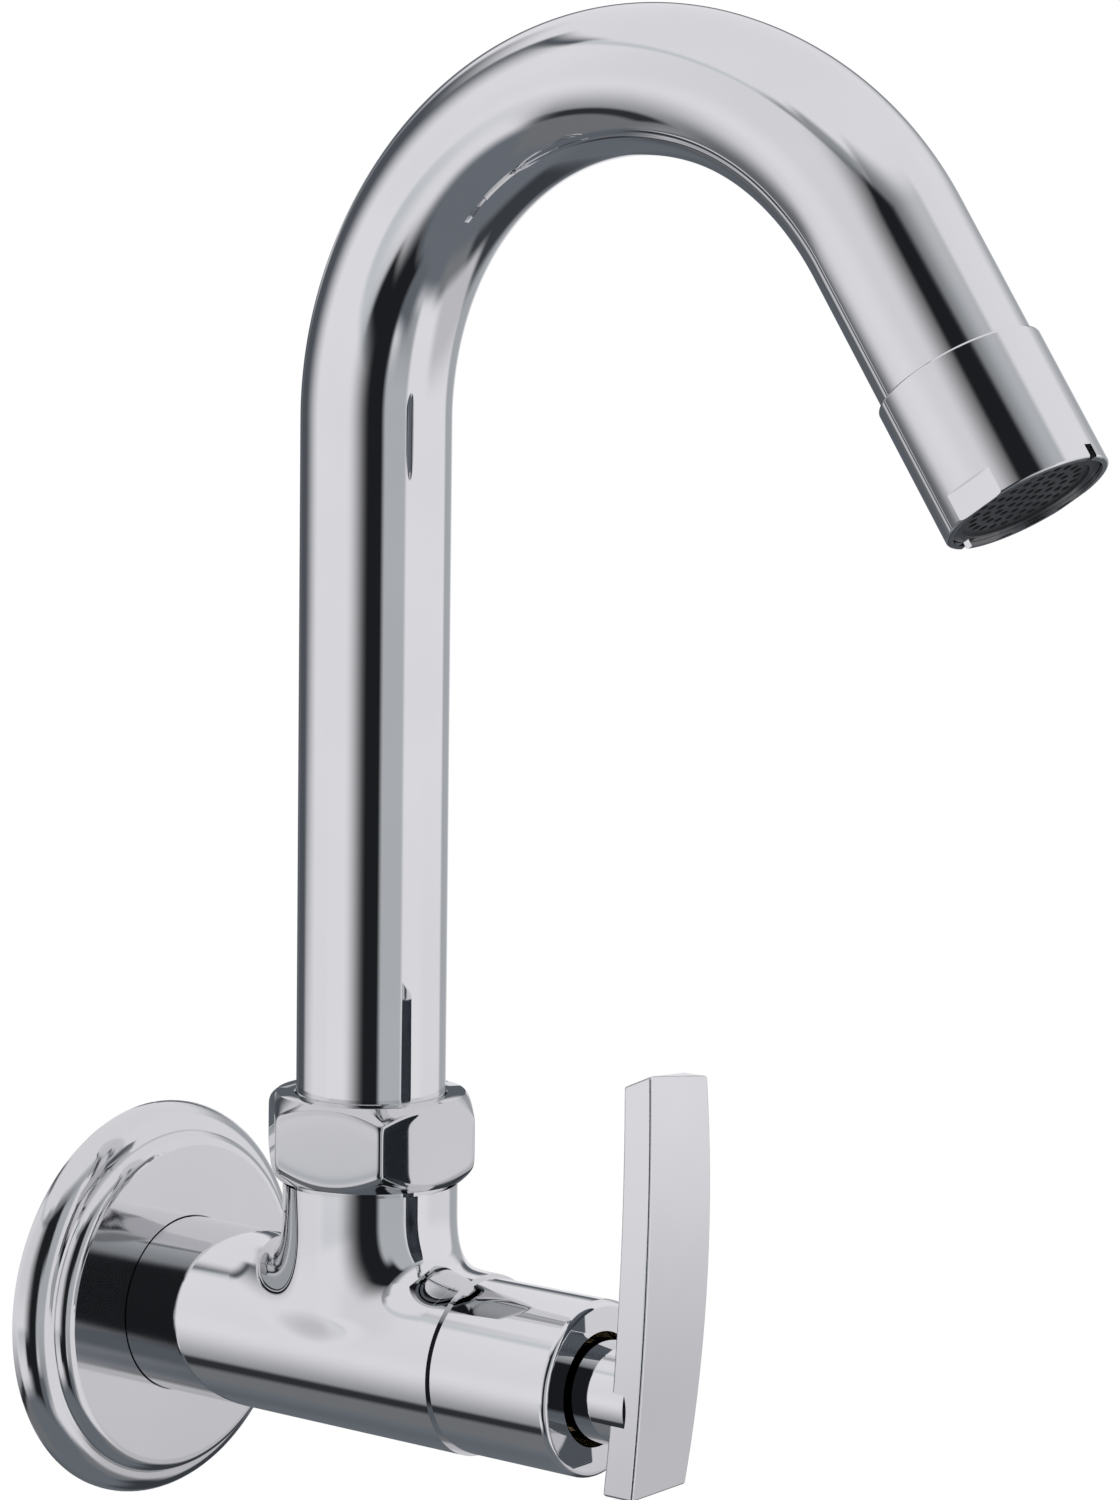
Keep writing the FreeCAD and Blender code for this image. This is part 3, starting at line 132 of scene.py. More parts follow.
class Tree:
    """The node tree of one material or of the world."""

    # The sockets of a Mix node that carry colours. By name they can't be told from those for numbers.
    MIX_FIRST = 6
    MIX_SECOND = 7
    MIX_RESULT = 2

    def __init__(self, owner: Union[bpy.types.Material, bpy.types.World]) -> None:
        """Start from an empty tree.

        Args:
            owner: The material or world whose nodes are built.
        """
        owner.use_nodes = True
        self.nodes = owner.node_tree.nodes
        self.links = owner.node_tree.links
        self.nodes.clear()

    def node(self, kind: str, settings: dict | None = None,
             sockets: dict[Union[int, str], Value] | None = None) -> bpy.types.Node:
        """Add one node of any type.

        Args:
            kind: The node's type name without its ShaderNode prefix.
            settings: Attributes, set first.
            sockets: Values or signals for the inputs, by name or by number.

        Returns:
            The new node.
        """
        item = self.nodes.new(f"ShaderNode{kind}")
        for name, setting in (settings or {}).items():
            setattr(item, name, setting)
        for name, value in (sockets or {}).items():
            if isinstance(value, Signal):
                self.links.new(value.socket, item.inputs[name])
            else:
                item.inputs[name].default_value = value
        return item

    def out(self, item: bpy.types.Node, name: Union[int, str] = 0) -> Signal:
        """Wrap one output of a node."""
        return Signal(self, item.outputs[name])

    def maths(self, operation: str, *values: Value) -> Signal:
        """Add a Math node.

        Args:
            operation: The node's operation.
            values: Its inputs in order.

        Returns:
            The node's result.
        """
        return self.out(self.node("Math", {"operation": operation}, dict(enumerate(values))))

    def ease(self, value: Value, low: float, high: float) -> Signal:
        """Rise smoothly from 0 to 1.

        Args:
            value: What is measured.
            low: Where the rise starts.
            high: Where the rise ends.

        Returns:
            The smoothed step.
        """
        item = self.node("MapRange", {"interpolation_type": "SMOOTHSTEP", "clamp": True},
                         {"Value": value, "From Min": low, "From Max": high})
        return self.out(item)

    def blend(self, factor: Value, first: Value, second: Value) -> Signal:
        """Mix two colours.

        Args:
            factor: Share of the second colour.
            first: The first colour.
            second: The second colour.

        Returns:
            The mixed colour.
        """
        colours = {self.MIX_FIRST: self.opaque(first), self.MIX_SECOND: self.opaque(second)}
        item = self.node("Mix", {"data_type": "RGBA"}, {0: factor, **colours})
        return self.out(item, self.MIX_RESULT)

    @staticmethod
    def opaque(colour: Value) -> Value:
        """A plain colour with its fourth part, or a signal as it is."""
        return colour if isinstance(colour, Signal) else (*colour, 1.0)

    def place(self) -> Signal:
        """Place on the object, in metres of the tap's frame."""
        return self.out(self.node("TexCoord"), "Object")

    def noise(self, grain: Grain) -> Signal:
        """Add a noise texture, about 0.5 on average.

        Args:
            grain: The pattern.

        Returns:
            The noise.
        """
        spread = self.node("Mapping", None, {"Vector": self.place(), "Scale": grain.stretch})
        item = self.node("TexNoise", None, {"Vector": self.out(spread), "Scale": grain.scale,
                                            "Detail": grain.detail})
        return self.out(item, "Fac")

    def split(self, vector: Value) -> tuple[Signal, Signal, Signal]:
        """Take a vector apart into its three parts."""
        parts = self.node("SeparateXYZ", None, {"Vector": vector})
        return self.out(parts, "X"), self.out(parts, "Y"), self.out(parts, "Z")

    def bump(self, height: Value, depth: float) -> Signal:
        """Turn a height into a normal.

        Args:
            height: Height from 0 to 1.
            depth: What a height of 1 stands for, in metres.

        Returns:
            The bumped normal.
        """
        return self.out(self.node("Bump", None, {"Height": height, "Distance": depth, "Strength": 1.0}))

    def glow(self, kind: str, colour: Value) -> Signal:
        """Add a shader that gives off light by itself.

        Args:
            kind: Background in a world, or Emission in a material.
            colour: Its colour.

        Returns:
            The shader.
        """
        return self.out(self.node(kind, None, {"Color": self.opaque(colour), "Strength": 1.0}))

    def by_ray(self, ray: str, others: Signal, shown: Signal) -> Signal:
        """Show a shader to one kind of ray only.

        Args:
            ray: The output of the light path that picks the rays.
            others: The shader for all other rays.
            shown: The shader for these rays.

        Returns:
            The two together.
        """
        picked = self.out(self.node("LightPath"), ray)
        return self.out(self.node("MixShader", None, {0: picked, 1: others, 2: shown}))


# Finishes

@dataclass(frozen=True)
class Finish:
    """Base of every finish: a colour, a roughness and what is the same all over."""

    name: str
    colour: Colour
    roughness: float
    metallic: float = 0.0
    coat: float = 0.0

    def material(self) -> bpy.types.Material:
        """Build the material.

        Returns:
            A new material with this finish.
        """
        made = bpy.data.materials.new(self.name)
        tree = Tree(made)
        sockets = {"Base Color": tree.opaque(self.colour), "Roughness": self.roughness,
                   "Metallic": self.metallic, "Coat Weight": self.coat}
        sockets.update(self.variation(tree))
        shader = tree.node("BsdfPrincipled", None, sockets)
        tree.node("OutputMaterial", None, {"Surface": tree.out(shader)})
        return made

    def variation(self, tree: Tree) -> dict[str, Signal]:
        """What changes over the surface.

        Args:
            tree: The material's tree.

        Returns:
            Signals by the name of the shader's input.
        """
        return {}

    def shade(self, share: float) -> Colour:
        """This finish's colour, lighter or darker by a share."""
        return tuple(min(1.0, part * share) for part in self.colour)


@dataclass(frozen=True)
class PolishedPlate(Finish):
    """Bright chrome plating over buffed brass, with a trace of the buffing under it."""

    haze: float = 0.012
    wipe: Grain = Grain(260.0, 4.0, (1.0, 1.0, 0.18))
    wipe_edge: Span = (0.45, 0.85)
    cloud: Grain = Grain(38.0, 3.0)
    cloud_edge: Span = (0.35, 0.7)
    cloud_shades: Span = (0.985, 1.015)
    buffing: Grain = Grain(150.0, 1.0)
    ripple: float = 1.5e-6

    def variation(self, tree: Tree) -> dict[str, Signal]:
        """Faint wiping haze, cloudy tone and the slow ripple that buffing leaves."""
        return {"Base Color": self.tone(tree), "Roughness": self.satin(tree),
                "Normal": tree.bump(tree.noise(self.buffing), self.ripple)}

    def tone(self, tree: Tree) -> Signal:
        """Colour of the plating, a little cloudy."""
        dark, light = self.cloud_shades
        cloud = tree.ease(tree.noise(self.cloud), *self.cloud_edge)
        return tree.blend(cloud, self.shade(dark), self.shade(light))

    def satin(self, tree: Tree) -> Signal:
        """Roughness of the plating, with the haze that wiping leaves."""
        return self.roughness + self.haze * tree.ease(tree.noise(self.wipe), *self.wipe_edge)


@dataclass(frozen=True)
class PlatedCasting(PolishedPlate):
    """The plating of the tee, which ends at the inlet thread and leaves its brass bare."""

    bare: Colour = (0.74, 0.54, 0.26)
    bare_roughness: float = 0.26
    plated_to: float = -2.9 * MM
    plating_edge: float = 0.1 * MM
    stem: float = 10.9 * MM
    stem_edge: float = 0.3 * MM
    pitch: float = 1.814 * MM
    thread_depth: float = 0.55 * MM

    def variation(self, tree: Tree) -> dict[str, Signal]:
        """Plating on the body and bare brass with its thread on the inlet."""
        across, outward, upward = tree.split(tree.place())
        reach = tree.maths("SQRT", across * across + upward * upward)
        stem = 1.0 - tree.ease(reach, self.stem, self.stem + self.stem_edge)
        first, last = self.plated_to - self.plating_edge, self.plated_to + self.plating_edge
        bare = tree.ease(outward, first, last) * stem
        turn = tree.maths("ARCTAN2", upward, across)
        crest = tree.maths("SINE", outward * (FULL_TURN / self.pitch) - turn)
        height = tree.noise(self.buffing) * self.ripple + crest * bare * (0.5 * self.thread_depth)
        rough = self.satin(tree) + bare * (self.bare_roughness - self.roughness)
        return {"Base Color": tree.blend(bare, self.tone(tree), self.bare), "Roughness": rough,
                "Normal": tree.bump(height, 1.0)}


@dataclass(frozen=True)
class PlatedLever(PolishedPlate):
    """The plating of the lever: polished where the hand goes, with painted shade on the blade's back and
    more roughness there.
    """

    # Painted shade: the dark colour given to the blade's back, which faces the wall.
    painted_back_shade: Colour = (0.12, 0.135, 0.155)
    dull_roughness: float = 0.3
    back_from: float = 0.75
    back_edge: float = 0.1
    blade_from: float = 8.2 * MM
    blade_edge: float = 0.6 * MM

    def variation(self, tree: Tree) -> dict[str, Signal]:
        """Polished plating, and painted shade with more roughness on the back that faces the wall."""
        _, backward, _ = tree.split(tree.out(tree.node("TexCoord"), "Normal"))
        _, _, upward = tree.split(tree.place())
        blade = tree.ease(upward, self.blade_from, self.blade_from + self.blade_edge)
        back = tree.ease(backward, self.back_from, self.back_from + self.back_edge) * blade
        rough = self.satin(tree) + back * (self.dull_roughness - self.roughness)
        return {"Base Color": tree.blend(back, self.tone(tree), self.painted_back_shade), "Roughness": rough,
                "Normal": tree.bump(tree.noise(self.buffing), self.ripple)}


@dataclass(frozen=True)
class TurnedMetal(Finish):
    """Metal straight off the lathe, with fine tool marks round an axis."""

    pitch: float = 0.22 * MM
    depth: float = 2.5e-6
    patch: Grain = Grain(190.0, 4.0)
    patch_edge: Span = (0.4, 0.75)
    patch_shades: Span = (1.06, 0.82)
    patch_satin: float = 0.12

    def variation(self, tree: Tree) -> dict[str, Signal]:
        """Tool marks along the turning axis, and darker patches where hands and air have been."""
        _, outward, upward = tree.split(tree.place())
        marks = tree.maths("SINE", (outward + upward) * (FULL_TURN / self.pitch)) * 0.5 + 0.5
        patch = tree.noise(self.patch)
        light, dark = self.patch_shades
        tone = tree.blend(tree.ease(patch, *self.patch_edge), self.shade(light), self.shade(dark))
        return {"Base Color": tone, "Roughness": self.roughness + self.patch_satin * patch,
                "Normal": tree.bump(marks, self.depth)}


@dataclass(frozen=True)
class SoftMoulding(Finish):
    """Moulded rubber or plastic with a fine grain and slight changes of tone."""

    grain: Grain = Grain(1400.0, 2.0)
    grain_depth: float = 6.0e-6
    patch: Grain = Grain(240.0, 3.0)
    patch_satin: float = 0.14
    mottle: float = 0.12

    def variation(self, tree: Tree) -> dict[str, Signal]:
        """Fine grain in the surface, with a little mottling of tone and gloss."""
        patch = tree.noise(self.patch)
        tone = tree.blend(patch, self.shade(1.0 - self.mottle), self.shade(1.0 + self.mottle))
        return {"Base Color": tone, "Roughness": self.roughness + self.patch_satin * (patch - 0.5),
                "Normal": tree.bump(tree.noise(self.grain), self.grain_depth)}


@dataclass(frozen=True)
class PressedFibre(Finish):
    """Pressed fibre board, with short strands in two tones."""

    strands: Grain = Grain(900.0, 5.0, (1.0, 0.3, 2.6))
    strand_edge: Span = (0.38, 0.66)
    strand_shades: Span = (0.7, 1.35)
    strand_height: float = 0.02 * MM

    def variation(self, tree: Tree) -> dict[str, Signal]:
        """Short strands across the sheet, proud of its face."""
        strands = tree.noise(self.strands)
        dark, light = self.strand_shades
        tone = tree.blend(tree.ease(strands, *self.strand_edge), self.shade(dark), self.shade(light))
        return {"Base Color": tone, "Normal": tree.bump(strands, self.strand_height)}


@dataclass(frozen=True)
class LappedCeramic(Finish):
    """Ceramic lapped to a mirror on its faces, with a fine speckle in the body."""

    speck: Grain = Grain(3200.0, 2.0)
    speck_edge: Span = (0.62, 0.74)
    speck_shade: float = 0.86
    lapping: Grain = Grain(420.0, 2.0)
    lapping_satin: float = 0.1

    def variation(self, tree: Tree) -> dict[str, Signal]:
        """Fine grey speckle and a satin that varies a little."""
        speck = tree.ease(tree.noise(self.speck), *self.speck_edge)
        return {"Base Color": tree.blend(speck, self.colour, self.shade(self.speck_shade)),
                "Roughness": self.roughness + self.lapping_satin * tree.noise(self.lapping)}


@dataclass(frozen=True)
class Finishes:
    """The finishes of the tap, by the part that they are seen on."""

    chrome: Finish = PolishedPlate("polished_chrome", PLATE, 0.02, 1.0)
    casting: Finish = PlatedCasting("plated_casting", PLATE, 0.02, 1.0)
    lever: Finish = PlatedLever("plated_lever", PLATE, 0.02, 1.0)
    pressing: Finish = PolishedPlate("plated_pressing", (0.745, 0.748, 0.757), 0.075, 1.0, haze=0.02)
    # The nut's plating: the chrome's colour darkened, painted shade that stands for the darker
    # reflections on the nut's flats.
    nut_shaded_plate: Finish = PolishedPlate("nut_plate_painted_shade", (0.655, 0.658, 0.667), 0.03, 1.0)
    brass: Finish = TurnedMetal("turned_brass", (0.72, 0.52, 0.24), 0.24, 1.0)
    steel: Finish = TurnedMetal("bright_steel", (0.62, 0.62, 0.63), 0.22, 1.0,
                                pitch=0.09 * MM, depth=2.0e-6)
    rubber: Finish = SoftMoulding("black_rubber", (0.022, 0.022, 0.024), 0.55)
    fibre: Finish = PressedFibre("red_fibre", (0.30, 0.095, 0.06), 0.8)
    ceramic: Finish = LappedCeramic("lapped_ceramic", (0.86, 0.85, 0.81), 0.12, coat=0.4)
    slip: Finish = SoftMoulding("waxy_plastic", (0.80, 0.80, 0.77), 0.42, mottle=0.03)
    dark: Finish = SoftMoulding("dark_plastic", (0.045, 0.047, 0.052), 0.38, mottle=0.08)


class Dresser:
    """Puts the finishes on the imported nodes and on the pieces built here."""

    def __init__(self, finishes: Finishes) -> None:
        """Keep the finishes and an empty store of built materials."""
        self.finishes = finishes
        self.made: dict[str, bpy.types.Material] = {}

    def material(self, finish: Finish) -> bpy.types.Material:
        """Build a finish's material once and hand it out afterwards."""
        if finish.name not in self.made:
            self.made[finish.name] = finish.material()
        return self.made[finish.name]

    def dress(self, finish: Finish, *nodes: str) -> None:
        """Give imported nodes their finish.

        Args:
            finish: What they are made of.
            nodes: The nodes' names.
        """
        for node in nodes:
            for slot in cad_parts[node].material_slots:
                slot.material = self.material(finish)
            log.info("dressed %s in %s", node, finish.name)

    def cover(self, piece: bpy.types.Object, finish: Finish) -> None:
        """Give a piece built here its finish.

        Args:
            piece: The piece.
            finish: What it is made of.
        """
        piece.data.materials.append(self.material(finish))
        log.info("covered %s in %s", piece.name, finish.name)


# Setting: camera, surroundings, lamps and floor

@dataclass
class PhotoCamera:
    """The camera that took the photograph, solved from the tap's outlines. Its angles are in radians."""

    target: Point = (0.0, -SPOUT_OFFSET, 0.0)
    turn: float = 0.9098
    climb: float = 0.1146
    roll: float = 0.0129
    distance: float = 664.92 * MM
    shift_right: float = 28.2965 * MM
    shift_up: float = 87.5205 * MM
    focal_pixels: float = 4487.80
    picture_height: float = 1500.0
    sensor: float = 36.0
    nearest: float = 10.0 * MM
    farthest: float = 50.0

    def axes(self) -> tuple[Vector, Vector, Vector]:
        """The camera's right, up and backward directions."""
        level, rise = math.cos(self.climb), math.sin(self.climb)
        cosine, sine = math.cos(self.turn), math.sin(self.turn)
        back = Vector((-sine * level, -cosine * level, rise))
        right = Vector((cosine, -sine, 0.0))
        upward = back.cross(right)
        upright, lean = math.cos(self.roll), math.sin(self.roll)
        return upright * right + lean * upward, upright * upward - lean * right, back

    def build(self) -> bpy.types.Object:
        """Make the camera.

        Returns:
            The camera object, set as the scene's camera.
        """
        right, upward, back = self.axes()
        data = bpy.data.cameras.new("photo_camera")
        data.sensor_fit = "AUTO"
        data.sensor_width = self.sensor
        data.lens = self.focal_pixels / self.picture_height * self.sensor
        data.clip_start = self.nearest
        data.clip_end = self.farthest
        camera = bpy.data.objects.new("photo_camera", data)
        turn = Matrix((right, upward, back)).transposed()
        place = Vector(self.target) + back * self.distance
        place = place + right * self.shift_right + upward * self.shift_up
        camera.matrix_world = Matrix.Translation(place) @ turn.to_4x4()
        bpy.context.collection.objects.link(camera)
        bpy.context.scene.camera = camera
        log.info("camera at %s", tuple(round(part, 4) for part in place))
        return camera


@dataclass(frozen=True)
class Card:
    """One panel or gap of the studio, as a polished thing sees it from where the tap stands.

    Bearings are in degrees to the right of the line from the tap to the photographer, and heights in
    degrees above the horizon. Sides and ends say how soft the left and right edges and the low and
    high edges are, in degrees to each side. The tone is what the plating shows there, from 0 to 255.
    """

    name: str
    left: float
    right: float
    low: float
    high: float
    tone: float
    sides: Span = (5.0, 5.0)
    ends: Span = (5.0, 5.0)
    tint: Colour = (1.0, 0.995, 1.045)

    def colour(self) -> Colour:
        """What the card gives off, so that the plating shows its tone."""
        level = ((self.tone / TOP_TONE + SCREEN_LIFT) / (1.0 + SCREEN_LIFT)) ** SCREEN_POWER
        return tuple(level / plate * part for plate, part in zip(PLATE, self.tint))

    def over(self, tree: Tree, bearing: Signal, height: Signal, under: Value) -> Signal:
        """Lay the card over what is already there.

        Args:
            tree: The world's tree.
            bearing: Degrees to the right of the photographer.
            height: Degrees above the horizon.
            under: The colour behind the card.

        Returns:
            The colour with the card in front.
        """
        log.info("card %s from %g to %g degrees", self.name, self.left, self.right)
        (left, right), (foot, head) = self.sides, self.ends
        mask = (tree.ease(bearing, self.left - left, self.left + left)
                * (1.0 - tree.ease(bearing, self.right - right, self.right + right))
                * tree.ease(height, self.low - foot, self.low + foot)
                * (1.0 - tree.ease(height, self.high - head, self.high + head)))
        return tree.blend(mask, under, self.colour())


DUSK: Colour = (0.90, 1.0, 1.16)
STEEL: Colour = (0.96, 1.0, 1.06)


def studio_cards() -> list[Card]:
    """The panels and gaps, from the back to the front."""
    return [
        Card("floor", -400, 400, -120, -43, 104, ends=(5, 7), tint=DUSK),
        Card("far_floor_left", -400, -136, -60, -15, 98, (5, 8), (6, 4), DUSK),
        Card("far_floor_right", 140, 400, -60, -15, 98, (8, 5), (6, 4), DUSK),
        Card("far_left", -400, -150, -22, 4, 88, (5, 6), (6, 3), DUSK),
        Card("far_band_left", -400, -152, 6, 18, 92, (5, 8), (2, 4), DUSK),
        Card("far_band_right", 152, 400, 6, 18, 92, (8, 5), (2, 4), DUSK),
        Card("floor_right", 70, 128, -58, -38, 116, (8, 8), (6, 6), STEEL),
        Card("room_left", -154, -122, -44, 32, 78, (6, 5), (8, 10), DUSK),
        Card("room_right", 131, 166, -34, 22, 160, (5, 8), (8, 10), STEEL),
        Card("room_right_low", 112, 176, -60, -24, 58, (6, 8), (6, 7), DUSK),
        Card("right_wall", 47, 128, -39, 46, 215, (3, 6), (6, 8)),
        Card("right_wall_foot", 84, 132, -44, -14, 184, (8, 6), (6, 8)),
        Card("middle_wall", 10, 48, -24, 44, 170, (3, 3), (10, 6), STEEL),
        Card("middle_foot", 24, 48, -40, -18, 150, (6, 4), (6, 8), STEEL),
        Card("middle_skirting", 4, 36, -52, -29, 96, (4, 8), (4, 5), DUSK),
        Card("overhead_sheet", -14, 66, 38, 54, 168, (5, 7), (2, 8), STEEL),
        Card("overhead_beam", -14, 28, 38, 52, 102, (5, 26), (2, 10), STEEL),
        Card("left_rim", -128, -98, -10, 45, 84, (4, 4), (6, 3), DUSK),
        Card("top_rim", -100, -50, 39, 44.5, 194, (4, 4), (2, 2), STEEL),
        Card("top_rim_right", -52, -26, 36, 45, 142, (5, 4), (2, 3), STEEL),
        Card("left_panel", -112, -18, -25, 40, 215, (19, 4), (14, 2)),
        Card("left_fall", -124, -71, -70, -27, 108, (8, 5), (5, 22), STEEL),
        Card("left_low", -150, -106, -36, -15, 98, (6, 16), (6, 4), STEEL),
        Card("left_foot", -66, -18, -24, -12.5, 190, (10, 4), (8, 2), STEEL),
        Card("left_upper", -75, -18, 2, 40, 207, (14, 4), (8, 2)),
        Card("left_upper_edge", -38, -18, 14, 40, 188, (12, 4), (6, 2)),
        Card("left_skirting", -111, -74, -44, -37, 46, (4, 6), (2, 2), DUSK),
        Card("overhead_patch", -43, -11, 41, 50, 142, (4, 4), (3, 3), STEEL),
        Card("gap", -26, 13, -48, 44, 29, (18, 4), (4, 3), DUSK),
        Card("gap_foot", -31, 12, -33, -16, 29, (4, 4), (3, 5), DUSK),
        Card("gap_head", -17, 23, 12, 44, 29, (4, 4), (10, 2), DUSK),
    ]


@dataclass(frozen=True)
class Lamp:
    """One soft square lamp that shines at the tap."""

    name: str
    place: Point
    width: float
    watts: float
    target: Point = (0.0, -0.06, 0.08)

    def build(self) -> bpy.types.Object:
        """Make the lamp.

        Returns:
            The lamp, which polished metal doesn't show.
        """
        data = bpy.data.lights.new(self.name, "AREA")
        data.size = self.width
        data.energy = self.watts
        lamp = bpy.data.objects.new(self.name, data)
        lamp.location = self.place
        aim = Vector(self.target) - Vector(self.place)
        lamp.rotation_euler = aim.to_track_quat("-Z", "Y").to_euler()
        lamp.visible_glossy = False
        bpy.context.collection.objects.link(lamp)
        return lamp


@dataclass
class Studio:
    """A pale studio of panels round the tap, with the darker gaps that a polished thing shows."""

    facing: float
    overhead: Card = Card("overhead", -400, 400, -120, 120, 213)
    daylight: Colour = (0.62, 0.62, 0.63)
    floor_colour: Colour = (0.8, 0.8, 0.8)
    floor_half: float = 4.0
    floor_drop: float = 0.45
    key: Lamp = Lamp("key_lamp", (-0.9, -0.8, 1.1), 0.7, 7.0)
    fill: Lamp = Lamp("fill_lamp", (0.9, -0.9, 0.5), 0.9, 3.0)

    def build(self) -> None:
        """Make the world, the floor and the lamps."""
        self.build_world()
        self.build_floor()
        self.key.build()
        self.fill.build()

    def build_world(self) -> None:
        """Make the surroundings: white to the camera, and the panels to polished metal."""
        world = bpy.data.worlds.new("studio")
        bpy.context.scene.world = world
        tree = Tree(world)
        east, north, upward = tree.split(tree.out(tree.node("TexCoord"), "Generated"))
        sine, cosine = math.sin(self.facing), math.cos(self.facing)
        towards = east * -sine - north * cosine
        across = east * cosine - north * sine
        bearing = tree.maths("ARCTAN2", across, towards) * DEGREES
        height = tree.maths("ARCSINE", upward) * DEGREES
        tone: Value = self.overhead.colour()
        for card in studio_cards():
            tone = card.over(tree, bearing, height, tone)
        plain, panels = tree.glow("Background", self.daylight), tree.glow("Background", tone)
        lit = tree.by_ray("Is Glossy Ray", plain, panels)
        seen = tree.by_ray("Is Camera Ray", lit, tree.glow("Background", WHITE))
        tree.node("OutputWorld", None, {"Surface": seen})

    def build_floor(self) -> None:
        """Make the pale floor, well below the tap and white to the camera."""
        half, low = self.floor_half, -self.floor_drop
        corners = [(-half, -half, low), (half, -half, low), (half, half, low), (-half, half, low)]
        mesh = bpy.data.meshes.new("floor")
        mesh.from_pydata(corners, [], [(0, 1, 2, 3)])
        floor = bpy.data.objects.new("floor", mesh)
        bpy.context.collection.objects.link(floor)
        made = bpy.data.materials.new("pale_floor")
        tree = Tree(made)
        matt = tree.out(tree.node("BsdfDiffuse", None, {"Color": tree.opaque(self.floor_colour)}))
        seen = tree.by_ray("Is Camera Ray", matt, tree.glow("Emission", WHITE))
        tree.node("OutputMaterial", None, {"Surface": seen})
        mesh.materials.append(made)
        floor.visible_glossy = False


# Meshes

def turns_of(count: int) -> list[float]:
    """Angles of a ring's points, evenly round."""
    return [FULL_TURN * step / count for step in range(count)]


def swell(share: float) -> float:
    """Rise from 0 to 1 with a soft start and a soft end."""
    return 0.5 - 0.5 * math.cos(math.pi * share)


def moved(rings: Sequence[Ring], normals: Sequence[Ring], distance: float) -> list[Ring]:
    """Rings of points moved along their normals."""
    return [[point + normal * distance for point, normal in zip(*pair)] for pair in zip(rings, normals)]


def sew(name: str, rings: Sequence[Ring], body: Body,
        normals: Sequence[Ring] | None = None) -> bpy.types.Object:
    """Sew rings of points into one closed smooth skin, the last ring joined to the first.

    Args:
        name: The piece's name.
        rings: Rings with the same number of points, in order along the skin.
        body: The body that the piece moves with.
        normals: The true normal at every point, or None to take them from the faces.

    Returns:
        The new piece, riding on its body.
    """
    count = len(rings[0])
    faces = []
    for row in range(len(rings)):
        near, far = row * count, (row + 1) % len(rings) * count
        for step in range(count):
            side = (step + 1) % count
            faces.append((near + step, near + side, far + side, far + step))
    mesh = bpy.data.meshes.new(name)
    mesh.from_pydata([tuple(point) for ring in rings for point in ring], [], faces)
    build = bmesh.new()
    build.from_mesh(mesh)
    bmesh.ops.recalc_face_normals(build, faces=build.faces)
    build.to_mesh(mesh)
    build.free()
    mesh.shade_smooth()
    mesh.set_sharp_from_angle(angle=CREASE)
    if normals is not None:
        flat = [tuple(normal) for ring in normals for normal in ring]
        mesh.normals_split_custom_set_from_vertices(flat)
    piece = bpy.data.objects.new(name, mesh)
    bpy.context.collection.objects.link(piece)
    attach(piece, body.value)
    log.info("built %s with %d faces", name, len(faces))
    return piece


# Sub-assemblies

@dataclass
class SpoutNut:
    """The hexagon nut, with its flats and bevels softened by polishing.

    Heights are above the barrel's axis, and the corner's turn is in degrees. The larger a sharpness,
    the smaller the rounding of the corners or of the edge between flats and bevels.
    """

    low: float = 25.0 * MM
    high: float = 37.6 * MM
    sides: int = 6
    flats: float = 29.2 * MM
    corner_turn: float = 45.0
    corner_sharpness: float = 84.0
    bevel_sharpness: float = 40.0
    top_radius: float = 14.0 * MM
    top_slope: float = 1.25
    foot_radius: float = 13.9 * MM
    foot_slope: float = 1.1
    thread: float = 13.05 * MM
    lip: float = 11.1 * MM
    lip_base: float = 35.6 * MM
    edge: float = 0.2 * MM
    around: int = 360
    rows: int = 64

    def flat_reach(self, turn: float) -> float:
        """Distance from the axis to the softened hexagon, in one direction."""
        total = 0.0
        for side in range(self.sides):
            flat = math.radians(self.corner_turn) + FULL_TURN * (side + 0.5) / self.sides
            total += max(0.0, math.cos(turn - flat)) ** self.corner_sharpness
        return 0.5 * self.flats / total ** (1.0 / self.corner_sharpness)

    def bevel_reach(self, height: float) -> float:
        """Distance from the axis to the bevels, at one height."""
        top = self.top_radius + (self.high - height) * self.top_slope
        foot = self.foot_radius + (height - self.low) * self.foot_slope
        return min(top, foot)

    def reach(self, turn: float, height: float) -> float:
        """Distance from the axis to the nut's skin."""
        power = self.bevel_sharpness
        return (self.flat_reach(turn) ** -power + self.bevel_reach(height) ** -power) ** (-1.0 / power)

    def ring(self, radius: float | None, height: float) -> Ring:
        """One ring of points.

        Args:
            radius: Its radius, or None for the nut's skin.
            height: Its height.

        Returns:
            The points in order.
        """
        points = []
        for turn in turns_of(self.around):
            reach = self.reach(turn, height) if radius is None else radius
            across, outward = reach * math.cos(turn), reach * math.sin(turn) - SPOUT_OFFSET
            points.append(Vector((across, outward, height)))
        return points

    def build(self, dresser: Dresser, finish: Finish) -> bpy.types.Object:
        """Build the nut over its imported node.

        Args:
            dresser: Puts the finish on.
            finish: The nut's finish.

        Returns:
            The nut.
        """
        shares = [swell(row / self.rows) for row in range(self.rows + 1)]
        rings = [self.ring(None, self.low + (self.high - self.low) * share) for share in shares]
        inside = ((self.lip + self.edge, self.high), (self.lip, self.high - self.edge),
                  (self.lip, self.lip_base), (self.thread, self.lip_base), (self.thread, self.low))
        rings += [self.ring(radius, height) for radius, height in inside]
        nut = sew("soft_spout_nut", rings, Body.FIXED)
        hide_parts("spout_nut")
        dresser.cover(nut, finish)
        return nut


